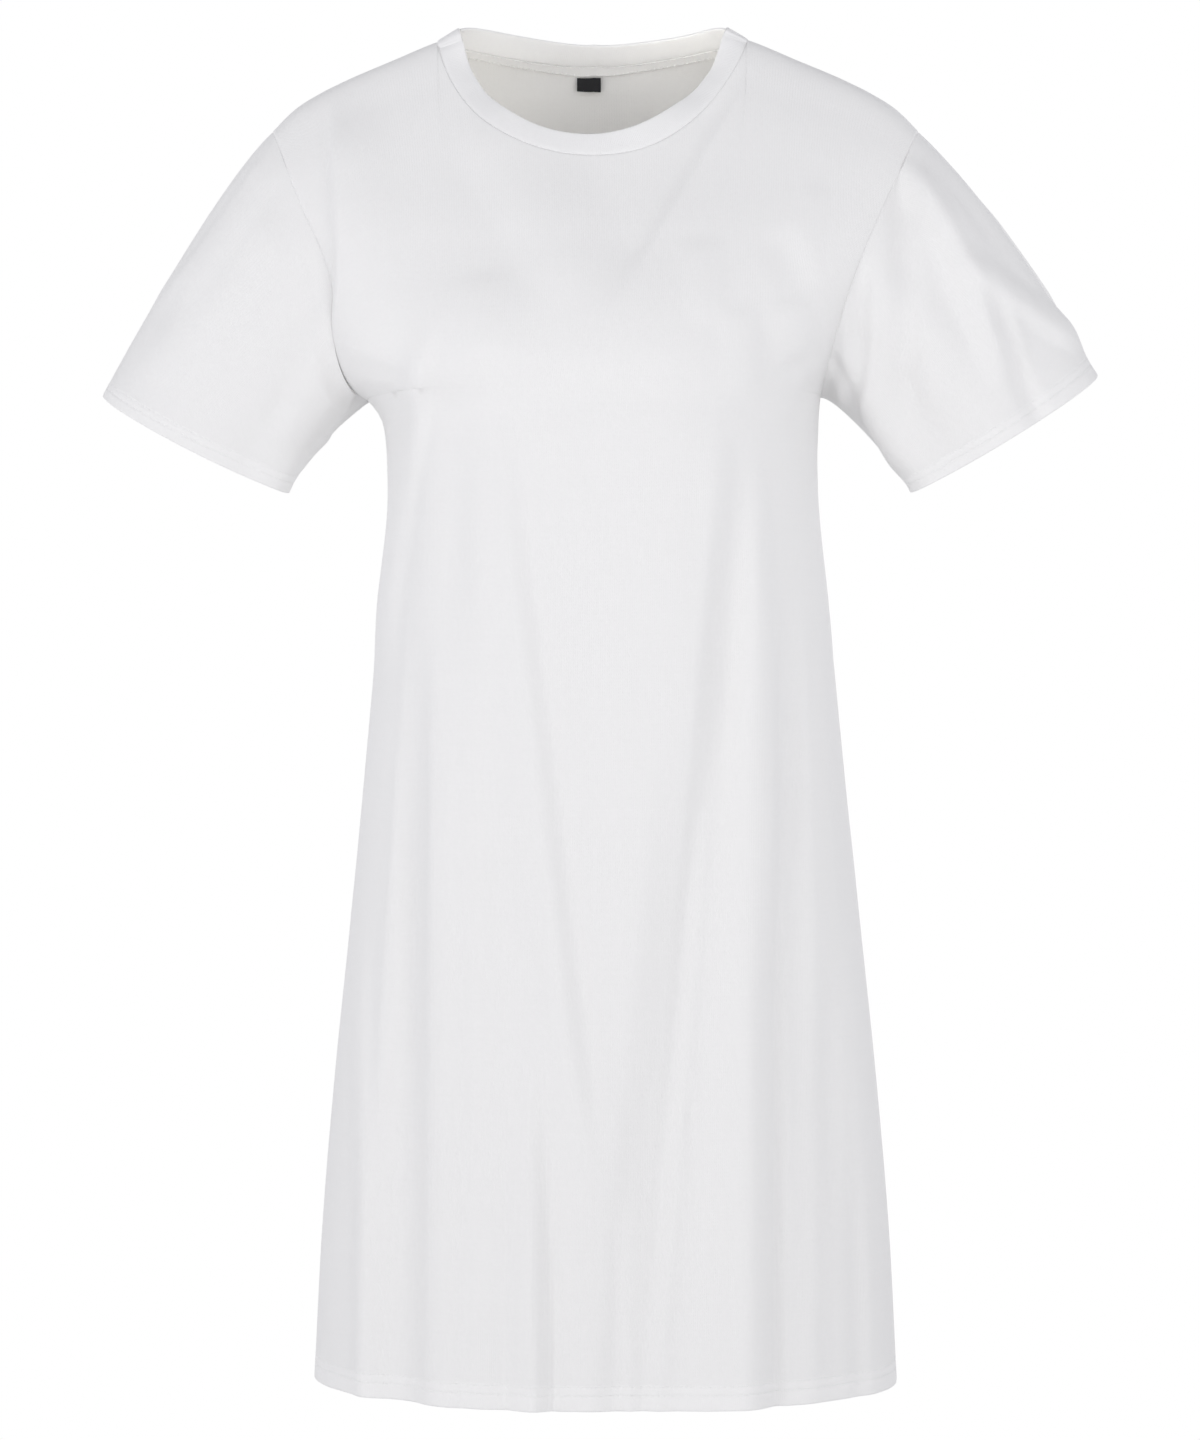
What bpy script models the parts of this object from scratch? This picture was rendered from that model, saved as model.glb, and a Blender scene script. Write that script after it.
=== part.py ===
"""A t-shirt dress, filled out as it is when worn: seven sewn pieces, each a closed wall of cloth.

Metres, +Z up, the front faces -Y. The origin is midway between the two points where the
shoulder seams reach the neck. A row of the body is named by its level, its height in metres at
the middle of the garment: 0 is the shoulder seam and HEM_LEVEL the lower edge. Across a panel,
a point is named by its share: -1 and 1 are the panel's edges and 0 its middle.
"""

import math

import bmesh
import bpy
import numpy as np

# Cloth
WALL = 0.0014  # one layer of jersey
HEM_WALL = 0.0022  # jersey turned up inside
SEAM_GAP = 0.0003
HEM_HEIGHT = 0.0165
HEM_STEP = 0.0012  # the run over which the wall thins above a hem

# Levels of the body
HEM_LEVEL = -0.860
UNDERARM_LEVEL = -0.229
CHEST_LEVEL = -0.150  # above it the rows of a panel spread to meet the neck and shoulder
SHOULDER_LEVEL = 0.0

# Neck opening, at the seam of the neck band
NECK_CENTRE_X = -0.0045
NECK_HALF_WIDTH = 0.0990
NECK_SIDE_Y = 0.004
NECK_FRONT_DROP = 0.0810
NECK_BACK_DEPTH = 0.0580
NECK_LEFT_POWERS = (2.4, 1.6)  # across and down; the front's left is fuller than its right
NECK_RIGHT_POWERS = (2.1, 1.3)
NECK_BACK_POWER = 1.7
BAND_WIDTH = 0.0160
BAND_WALL = 0.0022
BAND_PROUD = 0.0004  # how far the double band stands out from the single panel
BAND_GAP = 0.0005

# Back neck tape and size label, inside
TAPE_WIDTH = 0.0105
TAPE_WALL = 0.0010
TAPE_DEPTH = 0.0022  # from the panel's outer face to the tape
TAPE_REACH = 0.99  # it stops a little short of the shoulder seams
LABEL_WIDTH = 0.0156
LABEL_HEIGHT = 0.0104
LABEL_CENTRE_X = -0.0072
NECK_BACK_SLOPE = 0.42  # how far back the cloth goes for each metre down it, below the seam
LABEL_SLANT = 0.026  # how far its lower edge falls for each metre to the right
HEM_SLANT = 0.008  # the same for the hem of the dress

# Grid of the meshes
COLUMNS_IN_NECK = 13  # on each side of the middle
COLUMNS_OVER_SHOULDER = 11
ROWS_BELOW_UNDERARM = 11
ROWS_TO_CHEST = 5
ROWS_TO_TOP = 8
ROW_CROWDING = 1.3  # over 1, the rows draw closer towards the underarm
TOP_CROWDING = 1.6  # the same towards the shoulder, which curves the most
ROWS_ALONG_SLEEVE = 9
TAPE_COLUMNS = 25
TURN_STEPS = 65
NECKLINE_STEPS = 121  # on each side, for measuring along the neckline
NECKLINE_CROWDING = 4  # they crowd beside the shoulder, where the neckline is steepest
SQUARENESS = 2.35  # 2 is an ellipse
EDGE_POWER = 4  # above the underarm, the columns near the armhole take up its curve
SMALL_STEP = 0.0005  # for slopes, in shares and metres

COTTON_WHITE = (0.83, 0.83, 0.84, 1.0)
LABEL_BLACK = (0.012, 0.012, 0.013, 1.0)
COTTON_ROUGHNESS = 0.9

# One row for each section of the body. The edge is the side seam up to the underarm, and the
# armhole above it.
BODY_COLUMNS = (
    "level", "half_width", "shift", "edge_z", "side_y", "front_y", "front_z", "back_y", "back_z",
)
BODY_ROWS = (
    (-0.860, 0.1858, 0.0036, -0.8550, -0.002, -0.1310, -0.860, 0.1270, -0.858),
    (-0.760, 0.1808, 0.0036, -0.7570, 0.000, -0.1285, -0.760, 0.1235, -0.759),
    (-0.660, 0.1725, 0.0035, -0.6580, 0.001, -0.1255, -0.660, 0.1190, -0.659),
    (-0.560, 0.1622, 0.0034, -0.5580, 0.002, -0.1225, -0.560, 0.1135, -0.560),
    (-0.460, 0.1526, 0.0031, -0.4590, 0.003, -0.1205, -0.460, 0.1085, -0.460),
    (-0.360, 0.1436, 0.0026, -0.3600, 0.004, -0.1205, -0.360, 0.1045, -0.360),
    (-0.288, 0.1376, 0.0018, -0.2880, 0.004, -0.1225, -0.288, 0.1040, -0.288),
    (-0.250, 0.1386, 0.0008, -0.2500, 0.004, -0.1222, -0.250, 0.1055, -0.250),
    (-0.229, 0.1412, -0.0002, -0.2290, 0.004, -0.1203, -0.229, 0.1066, -0.229),
    (-0.205, 0.1470, -0.0022, -0.2085, 0.004, -0.1160, -0.205, 0.1074, -0.205),
    (-0.170, 0.1575, -0.0040, -0.1760, 0.004, -0.1080, -0.170, 0.1062, -0.168),
    (-0.130, 0.1700, -0.0045, -0.1420, 0.004, -0.0930, -0.130, 0.1000, -0.124),
    (-0.090, 0.1840, -0.0048, -0.1100, 0.004, -0.0715, -0.088, 0.0860, -0.068),
    (-0.045, 0.1975, -0.0036, -0.0790, 0.004, -0.0400, -0.022, 0.0590, -0.004),
    (-0.020, 0.2042, -0.0032, -0.0625, 0.004, -0.0190, 0.0130, 0.0300, 0.0145),
    (0.000, 0.2070, -0.0028, -0.0580, 0.004, 0.0040, 0.0180, 0.0040, 0.0180),
)

# The armhole from the underarm up to the shoulder: how far it lies before and behind the side.
ARMHOLE_COLUMNS = ("level", "front", "back")
ARMHOLE_ROWS = (
    (-0.229, 0.000, 0.000),
    (-0.222, 0.020, 0.020),
    (-0.205, 0.041, 0.041),
    (-0.170, 0.058, 0.057),
    (-0.130, 0.0595, 0.058),
    (-0.090, 0.049, 0.048),
    (-0.045, 0.032, 0.030),
    (-0.020, 0.017, 0.014),
    (0.000, 0.000, 0.000),
)
SHOULDER_TRIM = 0.74  # the most that a section may be trimmed, as a share of its depth

# The shoulder seam from the middle of the neck out to the armhole: how far it has come down.
SHOULDER_COLUMNS = ("out", "down")
SHOULDER_ROWS = (
    (0.00, 0.000), (0.25, 0.100), (0.48, 0.240), (0.62, 0.395),
    (0.78, 0.580), (0.85, 0.675), (0.94, 0.835), (1.00, 1.000),
)

# The lean of the neck band from upright towards the neck, in degrees, on each side. Place 0 is
# the middle of the front, 0.5 the shoulder seam and 1 the middle of the back.
BAND_COLUMNS = ("place", "left", "right")
BAND_ROWS = (
    (0.00, 27, 27),
    (0.25, 35, 23),
    (0.38, 53, 58),
    (0.50, 57, 60),
    (0.56, 47, 51),
    (0.65, 35, 51),
    (0.80, 34, 45),
    (1.00, 40, 40),
)

# Long folds of the two panels, valleys with a depth below zero and ridges above it. Across is
# measured along the cloth from the panel's middle, to the right of a viewer facing the front.
FOLD_COLUMNS = (
    "panel", "top_level", "top_across", "hem_across", "top_reach", "hem_reach", "depth", "start",
)
FOLD_ROWS = (
    ("front", -0.200, -0.106, -0.152, 0.026, 0.034, 0.0035, 0.10),
    ("front", -0.330, -0.114, -0.106, 0.014, 0.016, -0.0050, 0.20),
    ("front", -0.250, -0.084, -0.081, 0.018, 0.020, 0.0040, 0.16),
    ("front", -0.235, -0.066, -0.030, 0.016, 0.020, -0.0055, 0.12),
    ("front", -0.600, -0.056, -0.059, 0.012, 0.014, -0.0040, 0.14),
    ("front", -0.500, -0.016, 0.000, 0.022, 0.024, 0.0035, 0.25),
    ("front", -0.245, 0.086, 0.041, 0.017, 0.026, -0.0065, 0.12),
    ("front", -0.235, 0.099, 0.091, 0.018, 0.026, 0.0050, 0.14),
    ("front", -0.300, 0.127, 0.118, 0.016, 0.022, -0.0055, 0.16),
    ("front", -0.520, 0.158, 0.170, 0.018, 0.020, -0.0030, 0.20),
    ("back", -0.210, -0.128, -0.140, 0.022, 0.030, 0.0040, 0.16),
    ("back", -0.260, -0.092, -0.106, 0.018, 0.022, -0.0055, 0.14),
    ("back", -0.330, -0.062, -0.070, 0.018, 0.024, 0.0045, 0.18),
    ("back", -0.230, -0.034, -0.030, 0.015, 0.020, -0.0045, 0.16),
    ("back", -0.400, 0.006, 0.014, 0.022, 0.026, 0.0040, 0.22),
    ("back", -0.250, 0.044, 0.058, 0.016, 0.021, -0.0060, 0.12),
    ("back", -0.300, 0.080, 0.094, 0.018, 0.024, 0.0045, 0.16),
    ("back", -0.225, 0.112, 0.130, 0.016, 0.020, -0.0050, 0.18),
)
FOLD_EDGE_FADE = 0.030  # folds die out over this stretch of cloth beside a seam

# One row for each sleeve. The cuff's outer and inner corners are seen from the front, and its
# front edge hangs lower than its back edge by the tilt. The top and under slopes are the
# directions, in degrees below level, in which the sleeve leaves the armhole, and the pulls are how
# far it keeps to them and to the cuff's own direction, over the straight distance.
SLEEVE_COLUMNS = (
    "name", "side", "outer_x", "outer_z", "inner_x", "inner_z", "half_depth", "centre_y",
    "tilt", "top_slope", "under_slope", "top_pull", "under_pull",
)
SLEEVE_ROWS = (
    ("sleeve_left", -1, -0.3180, -0.2275, -0.1990, -0.2885, 0.0420, 0.001, 9, 42, 12, 0.62, 0.62),
    ("sleeve_right", 1, 0.3186, -0.2145, 0.1985, -0.2885, 0.0420, 0.001, 8, 43, -10, 0.95, 0.45),
)

# Folds of the sleeves. Turn is the angle round the sleeve in degrees: 0 on top, 90 in front,
# 180 underneath, 270 behind. Along runs from 0 at the armhole to 1 at the cuff.
SLEEVE_FOLD_COLUMNS = (
    "sleeve", "start_turn", "end_turn", "start_along", "end_along", "reach", "depth",
)
SLEEVE_FOLD_ROWS = (
    ("sleeve_left", 50, 56, 0.05, 0.85, 26, 0.0035),
    ("sleeve_left", 150, 160, 0.00, 0.80, 24, -0.0035),
    ("sleeve_left", 300, 285, 0.10, 0.95, 30, -0.0040),
    ("sleeve_left", 232, 240, 0.05, 0.90, 26, 0.0040),
    ("sleeve_right", 46, 56, 0.10, 0.80, 26, 0.0040),
    ("sleeve_right", 104, 96, 0.00, 1.00, 24, 0.0040),
    ("sleeve_right", 140, 132, 0.05, 0.90, 22, -0.0035),
    ("sleeve_right", 255, 262, 0.05, 0.95, 28, -0.0045),
    ("sleeve_right", 310, 300, 0.10, 0.90, 26, 0.0040),
)
FOLD_ALONG_FADE = 0.25


def column(rows, columns, name):
    """One named column of a table."""
    place = columns.index(name)
    return np.array([row[place] for row in rows], float)


def smooth_through(keys, values, at):
    """A smooth curve through a table's values, read at some keys."""
    slopes = np.gradient(values, keys)
    low = np.clip(np.searchsorted(keys, at, side="right") - 1, 0, len(keys) - 2)
    span = keys[low + 1] - keys[low]
    t = np.clip((at - keys[low]) / span, 0.0, 1.0)
    start = values[low] * (2 * t**3 - 3 * t**2 + 1) + values[low + 1] * (3 * t**2 - 2 * t**3)
    bend = slopes[low] * (t**3 - 2 * t**2 + t) + slopes[low + 1] * (t**3 - t**2)
    return start + bend * span


def body_value(name, level):
    """A column of the body's table, read at some levels."""
    levels = column(BODY_ROWS, BODY_COLUMNS, "level")
    return smooth_through(levels, column(BODY_ROWS, BODY_COLUMNS, name), level)


def soft_step(t):
    """Rises from 0 to 1 with level ends."""
    t = np.clip(t, 0.0, 1.0)
    return t * t * (3 - 2 * t)


def soft_bump(distance, reach):
    """1 at the middle of a fold, 0 from its reach on."""
    return np.clip(1 - (distance / reach) ** 2, 0.0, 1.0) ** 2


def unit(vectors):
    """Vectors of length one."""
    return vectors / np.maximum(np.linalg.norm(vectors, axis=-1, keepdims=True), 1e-12)


def armhole_reach(panel, level):
    """How far the armhole lies before or behind the side; its lowest part is round."""
    height = column(ARMHOLE_ROWS, ARMHOLE_COLUMNS, "level") - UNDERARM_LEVEL
    reach = column(ARMHOLE_ROWS, ARMHOLE_COLUMNS, panel)
    return smooth_through(np.sqrt(height), reach, np.sqrt(np.maximum(level - UNDERARM_LEVEL, 0.0)))


def body_section(panel, level):
    """A panel's section at each level, from its middle to its right edge, and the length so far."""
    half_width = body_value("half_width", level)[..., None]
    side_y = body_value("side_y", level)[..., None]
    edge_z = body_value("edge_z", level)[..., None]
    middle_y = body_value(panel + "_y", level)[..., None]
    middle_z = body_value(panel + "_z", level)[..., None]
    outward = -1 if panel == "front" else 1
    trim = armhole_reach(panel, level)[..., None]
    edge_y = side_y + trim * outward
    depth = np.maximum((middle_y - side_y) * outward, SMALL_STEP)
    turn = np.arccos(np.minimum(trim / depth, SHOULDER_TRIM) ** (SQUARENESS / 2))
    angle = turn * np.linspace(0.0, 1.0, TURN_STEPS)
    out = np.sin(angle) ** (2 / SQUARENESS)
    out = out / out[..., -1:]
    back = 1 - np.clip(np.cos(angle), 0.0, 1.0) ** (2 / SQUARENESS)
    back = back / back[..., -1:]
    shoulder = smooth_through(
        column(SHOULDER_ROWS, SHOULDER_COLUMNS, "out"),
        column(SHOULDER_ROWS, SHOULDER_COLUMNS, "down"),
        out,
    )
    near_shoulder = np.clip(1 - level / UNDERARM_LEVEL, 0.0, 1.0)[..., None]
    down = (1 - near_shoulder) * out**2 + near_shoulder * shoulder
    curve = np.stack(
        (
            half_width * out,
            middle_y + (edge_y - middle_y) * back,
            middle_z + (edge_z - middle_z) * down,
        ),
        axis=-1,
    )
    steps = np.linalg.norm(np.diff(curve, axis=-2), axis=-1)
    length = np.concatenate((np.zeros_like(steps[..., :1]), np.cumsum(steps, axis=-1)), axis=-1)
    return curve, length


def body_surface(panel, share, level):
    """Points on a panel's plain outer face, and how far along the cloth they are from its middle
    and from its edge."""
    share, level = np.broadcast_arrays(np.asarray(share, float), np.asarray(level, float))
    curve, length = body_section(panel, level)
    half_length = length[..., -1]
    _, ends = body_section(panel, np.array((UNDERARM_LEVEL, SHOULDER_LEVEL)))
    way_up = np.clip(1 - level / UNDERARM_LEVEL, 0.0, 1.0)
    even_length = ends[0, -1] + (ends[1, -1] - ends[0, -1]) * way_up
    even_length = np.where(level < UNDERARM_LEVEL, half_length, even_length)
    out = np.abs(share)
    wanted = even_length * out + (half_length - even_length) * out**EDGE_POWER
    low = np.clip((length <= wanted[..., None]).sum(axis=-1) - 1, 0, TURN_STEPS - 2)
    at_low = np.take_along_axis(length, low[..., None], -1)[..., 0]
    at_high = np.take_along_axis(length, low[..., None] + 1, -1)[..., 0]
    t = ((wanted - at_low) / np.maximum(at_high - at_low, 1e-12))[..., None]
    below = np.take_along_axis(curve, low[..., None, None], -2)[..., 0, :]
    above = np.take_along_axis(curve, low[..., None, None] + 1, -2)[..., 0, :]
    points = below + (above - below) * t
    points[..., 0] = points[..., 0] * np.sign(share) + body_value("shift", level)
    low_down = soft_step((UNDERARM_LEVEL - level) / (UNDERARM_LEVEL - HEM_LEVEL))
    points[..., 2] -= HEM_SLANT * points[..., 0] * low_down
    return points, wanted * np.sign(share), half_length - wanted


def surface_normals(surface, panel, share, level):
    """Outward normals of a panel's surface, from small steps towards its middle."""
    share, level = np.broadcast_arrays(np.asarray(share, float), np.asarray(level, float))
    step_across = np.where(share > 0, -SMALL_STEP, SMALL_STEP)
    step_up = np.where(level < UNDERARM_LEVEL, SMALL_STEP, -SMALL_STEP)
    here = surface(panel, share, level)[0]
    across = (surface(panel, share + step_across, level)[0] - here) / step_across[..., None]
    up = (surface(panel, share, level + step_up)[0] - here) / step_up[..., None]
    outward = 1 if panel == "front" else -1
    return unit(np.cross(across, up)) * outward


def neck_share(side, grow=0.0):
    """The share at which a shoulder seam meets the neck opening, made wider by grow."""
    low, high = 0.0, 1.0
    for _ in range(40):
        middle = (low + high) / 2
        point = body_surface("front", middle * side, SHOULDER_LEVEL)[0]
        if (point[0] - NECK_CENTRE_X) * side < NECK_HALF_WIDTH + grow:
            low = middle
        else:
            high = middle
    return (low + high) / 2


def neck_shares(share, grow=0.0):
    """The neck_share of the side that each share is on."""
    widest = np.max(grow)
    return np.where(np.asarray(share) < 0, neck_share(-1, widest), neck_share(1, widest))


def in_neck_opening(panel, points, grow):
    """True where a point lies inside the neck opening, made wider by grow."""
    across = np.abs(points[..., 0] - NECK_CENTRE_X) / (NECK_HALF_WIDTH + grow)
    if panel == "front":
        down = np.clip(-points[..., 2], 0.0, None) / (NECK_FRONT_DROP + grow)
        on_left = (points[..., 0] < NECK_CENTRE_X)[..., None]
        powers = np.where(on_left, NECK_LEFT_POWERS, NECK_RIGHT_POWERS)
        return across ** powers[..., 0] + down ** powers[..., 1] < 1
    depth = NECK_BACK_DEPTH + grow * NECK_BACK_SLOPE
    behind = np.clip(points[..., 1] - NECK_SIDE_Y, 0.0, None) / depth
    return across**NECK_BACK_POWER + behind**NECK_BACK_POWER < 1


def top_levels(panel, share, grow=0.0):
    """The level at which each column of a panel ends: at the neck seam or the shoulder seam."""
    share = np.asarray(share, float)
    low = np.full(share.shape, UNDERARM_LEVEL)
    high = np.full(share.shape, SHOULDER_LEVEL)
    for _ in range(40):
        middle = (low + high) / 2
        inside = in_neck_opening(panel, body_surface(panel, share, middle)[0], grow)
        high = np.where(inside, middle, high)
        low = np.where(inside, low, middle)
    over_shoulder = np.abs(share) >= neck_shares(share, grow) - 1e-9
    return np.where(over_shoulder, SHOULDER_LEVEL, (low + high) / 2)


def column_shares():
    """Where the columns stand below the chest, with one on each side under the point where neck
    and shoulder meet."""
    in_neck = np.arange(1, COLUMNS_IN_NECK + 1) / COLUMNS_IN_NECK
    over = np.arange(1, COLUMNS_OVER_SHOULDER + 1) / COLUMNS_OVER_SHOULDER
    halves = []
    for side in (-1, 1):
        neck = neck_share(side)
        halves.append(np.concatenate((neck * in_neck, neck + (1 - neck) * over)))
    return np.concatenate((-halves[0][::-1], [0.0], halves[1]))


def neckline_shares(panel, share):
    """Where the same columns stand at the top: those in the neck at even steps along its seam."""
    shares = share.copy()
    middle = len(share) // 2
    for side in (-1, 1):
        line = neck_share(side) * side * (1 - np.linspace(1, 0, NECKLINE_STEPS) ** NECKLINE_CROWDING)
        points = body_surface(panel, line, top_levels(panel, line))[0]
        steps = np.linalg.norm(np.diff(points, axis=0), axis=1)
        length = np.concatenate(([0.0], np.cumsum(steps)))
        even = np.linspace(0.0, length[-1], COLUMNS_IN_NECK + 1)
        shares[middle + side * np.arange(COLUMNS_IN_NECK + 1)] = np.interp(even, length, line)
    return shares


def lower_levels():
    """Levels of the rows that run straight across a panel, from the hem up to the chest."""
    hem = [HEM_LEVEL, HEM_LEVEL + HEM_HEIGHT]
    below = np.linspace(1, 0, ROWS_BELOW_UNDERARM) ** ROW_CROWDING
    body = UNDERARM_LEVEL + (HEM_LEVEL + HEM_HEIGHT + HEM_STEP - UNDERARM_LEVEL) * below
    above = (np.arange(1, ROWS_TO_CHEST + 1) / ROWS_TO_CHEST) ** ROW_CROWDING
    chest = UNDERARM_LEVEL + (CHEST_LEVEL - UNDERARM_LEVEL) * above
    return np.concatenate((hem, body, chest))


UNDERARM_ROW = 1 + ROWS_BELOW_UNDERARM


def fold_heights(panel, across, from_edge, level):
    """How far the folds move a panel's points in or out."""
    height = np.zeros_like(across)
    for row in FOLD_ROWS:
        fold = dict(zip(FOLD_COLUMNS, row))
        if fold["panel"] != panel:
            continue
        down = (fold["top_level"] - level) / (fold["top_level"] - HEM_LEVEL)
        centre = fold["top_across"] + (fold["hem_across"] - fold["top_across"]) * down
        reach = fold["top_reach"] + (fold["hem_reach"] - fold["top_reach"]) * np.clip(down, 0, 1)
        strength = soft_step((fold["top_level"] - level) / fold["start"])
        height += fold["depth"] * strength * soft_bump(across - centre, reach)
    return height * soft_step(from_edge / FOLD_EDGE_FADE)


def panel_surface(panel, share, level):
    """Points on a panel's outer face with its folds, as body_surface gives them."""
    plain, across, from_edge = body_surface(panel, share, level)
    normals = surface_normals(body_surface, panel, share, level)
    height = fold_heights(panel, across, from_edge, level)
    return plain + normals * height[..., None], across, from_edge


def panel_grid(panel):
    """A panel's outer face and its normals: rows from the hem up, columns left to right."""
    share = column_shares()
    top_share = neckline_shares(panel, share)
    top = top_levels(panel, top_share)
    levels = [np.full(share.shape, level) for level in lower_levels()]
    shares = [share] * len(levels)
    for row in range(1, ROWS_TO_TOP + 1):
        way_up = 1 - (1 - row / ROWS_TO_TOP) ** TOP_CROWDING
        levels.append(CHEST_LEVEL + (top - CHEST_LEVEL) * way_up)
        shares.append(share + (top_share - share) * soft_step(way_up))
    level, shares = np.array(levels), np.array(shares)
    points = panel_surface(panel, shares, level)[0]
    return points, surface_normals(panel_surface, panel, shares, level)


def armhole_loop(front, back, side):
    """The armhole's points round from the shoulder down the front and up the back."""
    edge = 0 if side < 0 else -1
    down_front = front[UNDERARM_ROW:, edge][::-1]
    up_back = back[UNDERARM_ROW + 1 : -1, edge]
    return np.concatenate((down_front, up_back))


def loop_turns(loop):
    """The angle round the sleeve of each armhole point: 0 on top and pi at the underarm."""
    half = len(loop) // 2
    steps = np.linalg.norm(np.roll(loop, -1, axis=0) - loop, axis=1)
    front, back = steps[:half], steps[half:]
    first = np.concatenate(([0.0], np.cumsum(front)[:-1])) / front.sum()
    second = np.concatenate(([0.0], np.cumsum(back)[:-1])) / back.sum()
    return math.pi * np.concatenate((first, 1 + second))


def cuff_points(sleeve, turns):
    """The cuff's edge at each angle round the sleeve, and the way the sleeve points there."""
    outer = np.array((sleeve["outer_x"], sleeve["centre_y"], sleeve["outer_z"]))
    inner = np.array((sleeve["inner_x"], sleeve["centre_y"], sleeve["inner_z"]))
    centre = (outer + inner) / 2
    to_inner = (inner - outer) / 2
    axis = unit(np.array((to_inner[2] * sleeve["side"], 0.0, -abs(to_inner[0]))))
    axis[0] = abs(axis[0]) * sleeve["side"]
    tilt = math.radians(sleeve["tilt"])
    to_front = np.array((0.0, -math.cos(tilt), 0.0)) + axis * math.sin(tilt)
    lengthwise = -np.cos(turns)[:, None]
    crosswise = np.sin(turns)[:, None]
    edge = centre + to_inner * lengthwise + to_front * crosswise * sleeve["half_depth"]
    return edge, axis


def sleeve_points(sleeve, loop):
    """A sleeve's outer face as a grid: rows from the armhole to the cuff, columns round it."""
    turns = loop_turns(loop)
    edge, axis = cuff_points(sleeve, turns)
    apart = np.linalg.norm(edge - loop, axis=1)[:, None]
    under = ((1 - np.cos(turns)) / 2)[:, None]
    top_slope, under_slope = math.radians(sleeve["top_slope"]), math.radians(sleeve["under_slope"])
    leave_top = np.array((math.cos(top_slope) * sleeve["side"], 0.0, -math.sin(top_slope)))
    leave_under = np.array((math.cos(under_slope) * sleeve["side"], 0.0, -math.sin(under_slope)))
    leave = unit(leave_top * (1 - under) + leave_under * under)
    pull = apart * (sleeve["top_pull"] * (1 - under) + sleeve["under_pull"] * under)
    start, end = leave * pull, axis * pull
    rows = []
    hem_starts = 1 - HEM_HEIGHT / apart
    alongs = [hem_starts * row / ROWS_ALONG_SLEEVE for row in range(ROWS_ALONG_SLEEVE)]
    alongs.append(hem_starts - HEM_STEP / apart)
    alongs.append(hem_starts)
    alongs.append(np.ones_like(apart))
    for t in alongs:
        rows.append(
            loop * (2 * t**3 - 3 * t**2 + 1) + edge * (3 * t**2 - 2 * t**3)
            + start * (t**3 - 2 * t**2 + t) + end * (t**3 - t**2)
        )
    plain = np.array(rows)
    along = np.array(alongs)[..., 0]
    height = sleeve_fold_heights(sleeve["name"], np.degrees(turns), along)
    normals = tube_normals(plain, sleeve["side"])
    return plain + normals * height[..., None], leave


def sleeve_fold_heights(name, turn, along):
    """How far the folds move a sleeve's points in or out."""
    height = np.zeros_like(along)
    for row in SLEEVE_FOLD_ROWS:
        fold = dict(zip(SLEEVE_FOLD_COLUMNS, row))
        if fold["sleeve"] != name:
            continue
        run = (along - fold["start_along"]) / (fold["end_along"] - fold["start_along"])
        centre = fold["start_turn"] + (fold["end_turn"] - fold["start_turn"]) * run
        ends = soft_step(run / FOLD_ALONG_FADE)
        if fold["end_along"] < 1:
            ends = ends * soft_step((1 - run) / FOLD_ALONG_FADE)
        height += fold["depth"] * ends * soft_bump(turn - centre, fold["reach"])
    return height * soft_step(along / FOLD_ALONG_FADE)


def tube_normals(points, side):
    """Outward normals of a grid whose columns close round a tube."""
    around = np.roll(points, -1, axis=1) - np.roll(points, 1, axis=1)
    along = np.gradient(points, axis=0)
    return unit(np.cross(around, along)) * side


def wall_faces(rows, columns, closed, first_turned):
    """Triangles of a wall: outer face, inner face and the rims between them.

    From the column first_turned on, each square is split along its other diagonal.
    """
    count = rows * columns
    faces = []
    last = columns if closed else columns - 1

    def add_quad(a, b, c, d):
        faces.extend(((a, b, c), (a, c, d)))

    def add_rim(low, high):
        """Two pieces that meet split their rims alike: from high outside to low inside."""
        faces.extend(((low, high, low + count), (high, high + count, low + count)))

    for row in range(rows - 1):
        for place in range(last):
            a = row * columns + place
            b = row * columns + (place + 1) % columns
            c, d = b + columns, a + columns
            if place >= first_turned:
                a, b, c, d = b, c, d, a
            add_quad(a, b, c, d)
            add_quad(a + count, d + count, c + count, b + count)
    for row in (0, rows - 1):
        for place in range(last):
            a = row * columns + place
            b = row * columns + (place + 1) % columns
            if closed and place < columns // 2:
                a, b = b, a
            add_rim(a, b)
    if not closed:
        for place in (0, columns - 1):
            for row in range(rows - 1):
                a = row * columns + place
                add_rim(a, a + columns)
    return faces


def make_material(name, colour, roughness):
    """A plain cloth material."""
    material = bpy.data.materials.new(name)
    material.use_nodes = True
    shader = material.node_tree.nodes["Principled BSDF"]
    shader.inputs["Base Color"].default_value = colour
    shader.inputs["Roughness"].default_value = roughness
    shader.inputs["Metallic"].default_value = 0.0
    return material


def add_piece(name, points, faces, colour):
    """One closed solid as a named object, with its faces turned outward."""
    mesh = bpy.data.meshes.new(name)
    mesh.from_pydata([tuple(point) for point in points], [], faces)
    shape = bmesh.new()
    shape.from_mesh(mesh)
    bmesh.ops.recalc_face_normals(shape, faces=shape.faces)
    shape.to_mesh(mesh)
    shape.free()
    mesh.shade_smooth()
    mesh.set_sharp_from_angle(angle=math.radians(50))
    mesh.materials.append(make_material(name + "_cloth", colour, COTTON_ROUGHNESS))
    piece = bpy.data.objects.new(name, mesh)
    bpy.context.scene.collection.objects.link(piece)
    return piece


def add_wall(name, outer, normals, depth, closed, first_turned, colour):
    """A wall whose inner face lies at some depth under its outer face."""
    rows, columns = outer.shape[:2]
    inner = outer - normals * np.broadcast_to(depth, outer.shape[:2])[..., None]
    points = np.concatenate((outer.reshape(-1, 3), inner.reshape(-1, 3)))
    return add_piece(name, points, wall_faces(rows, columns, closed, first_turned), colour)


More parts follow.
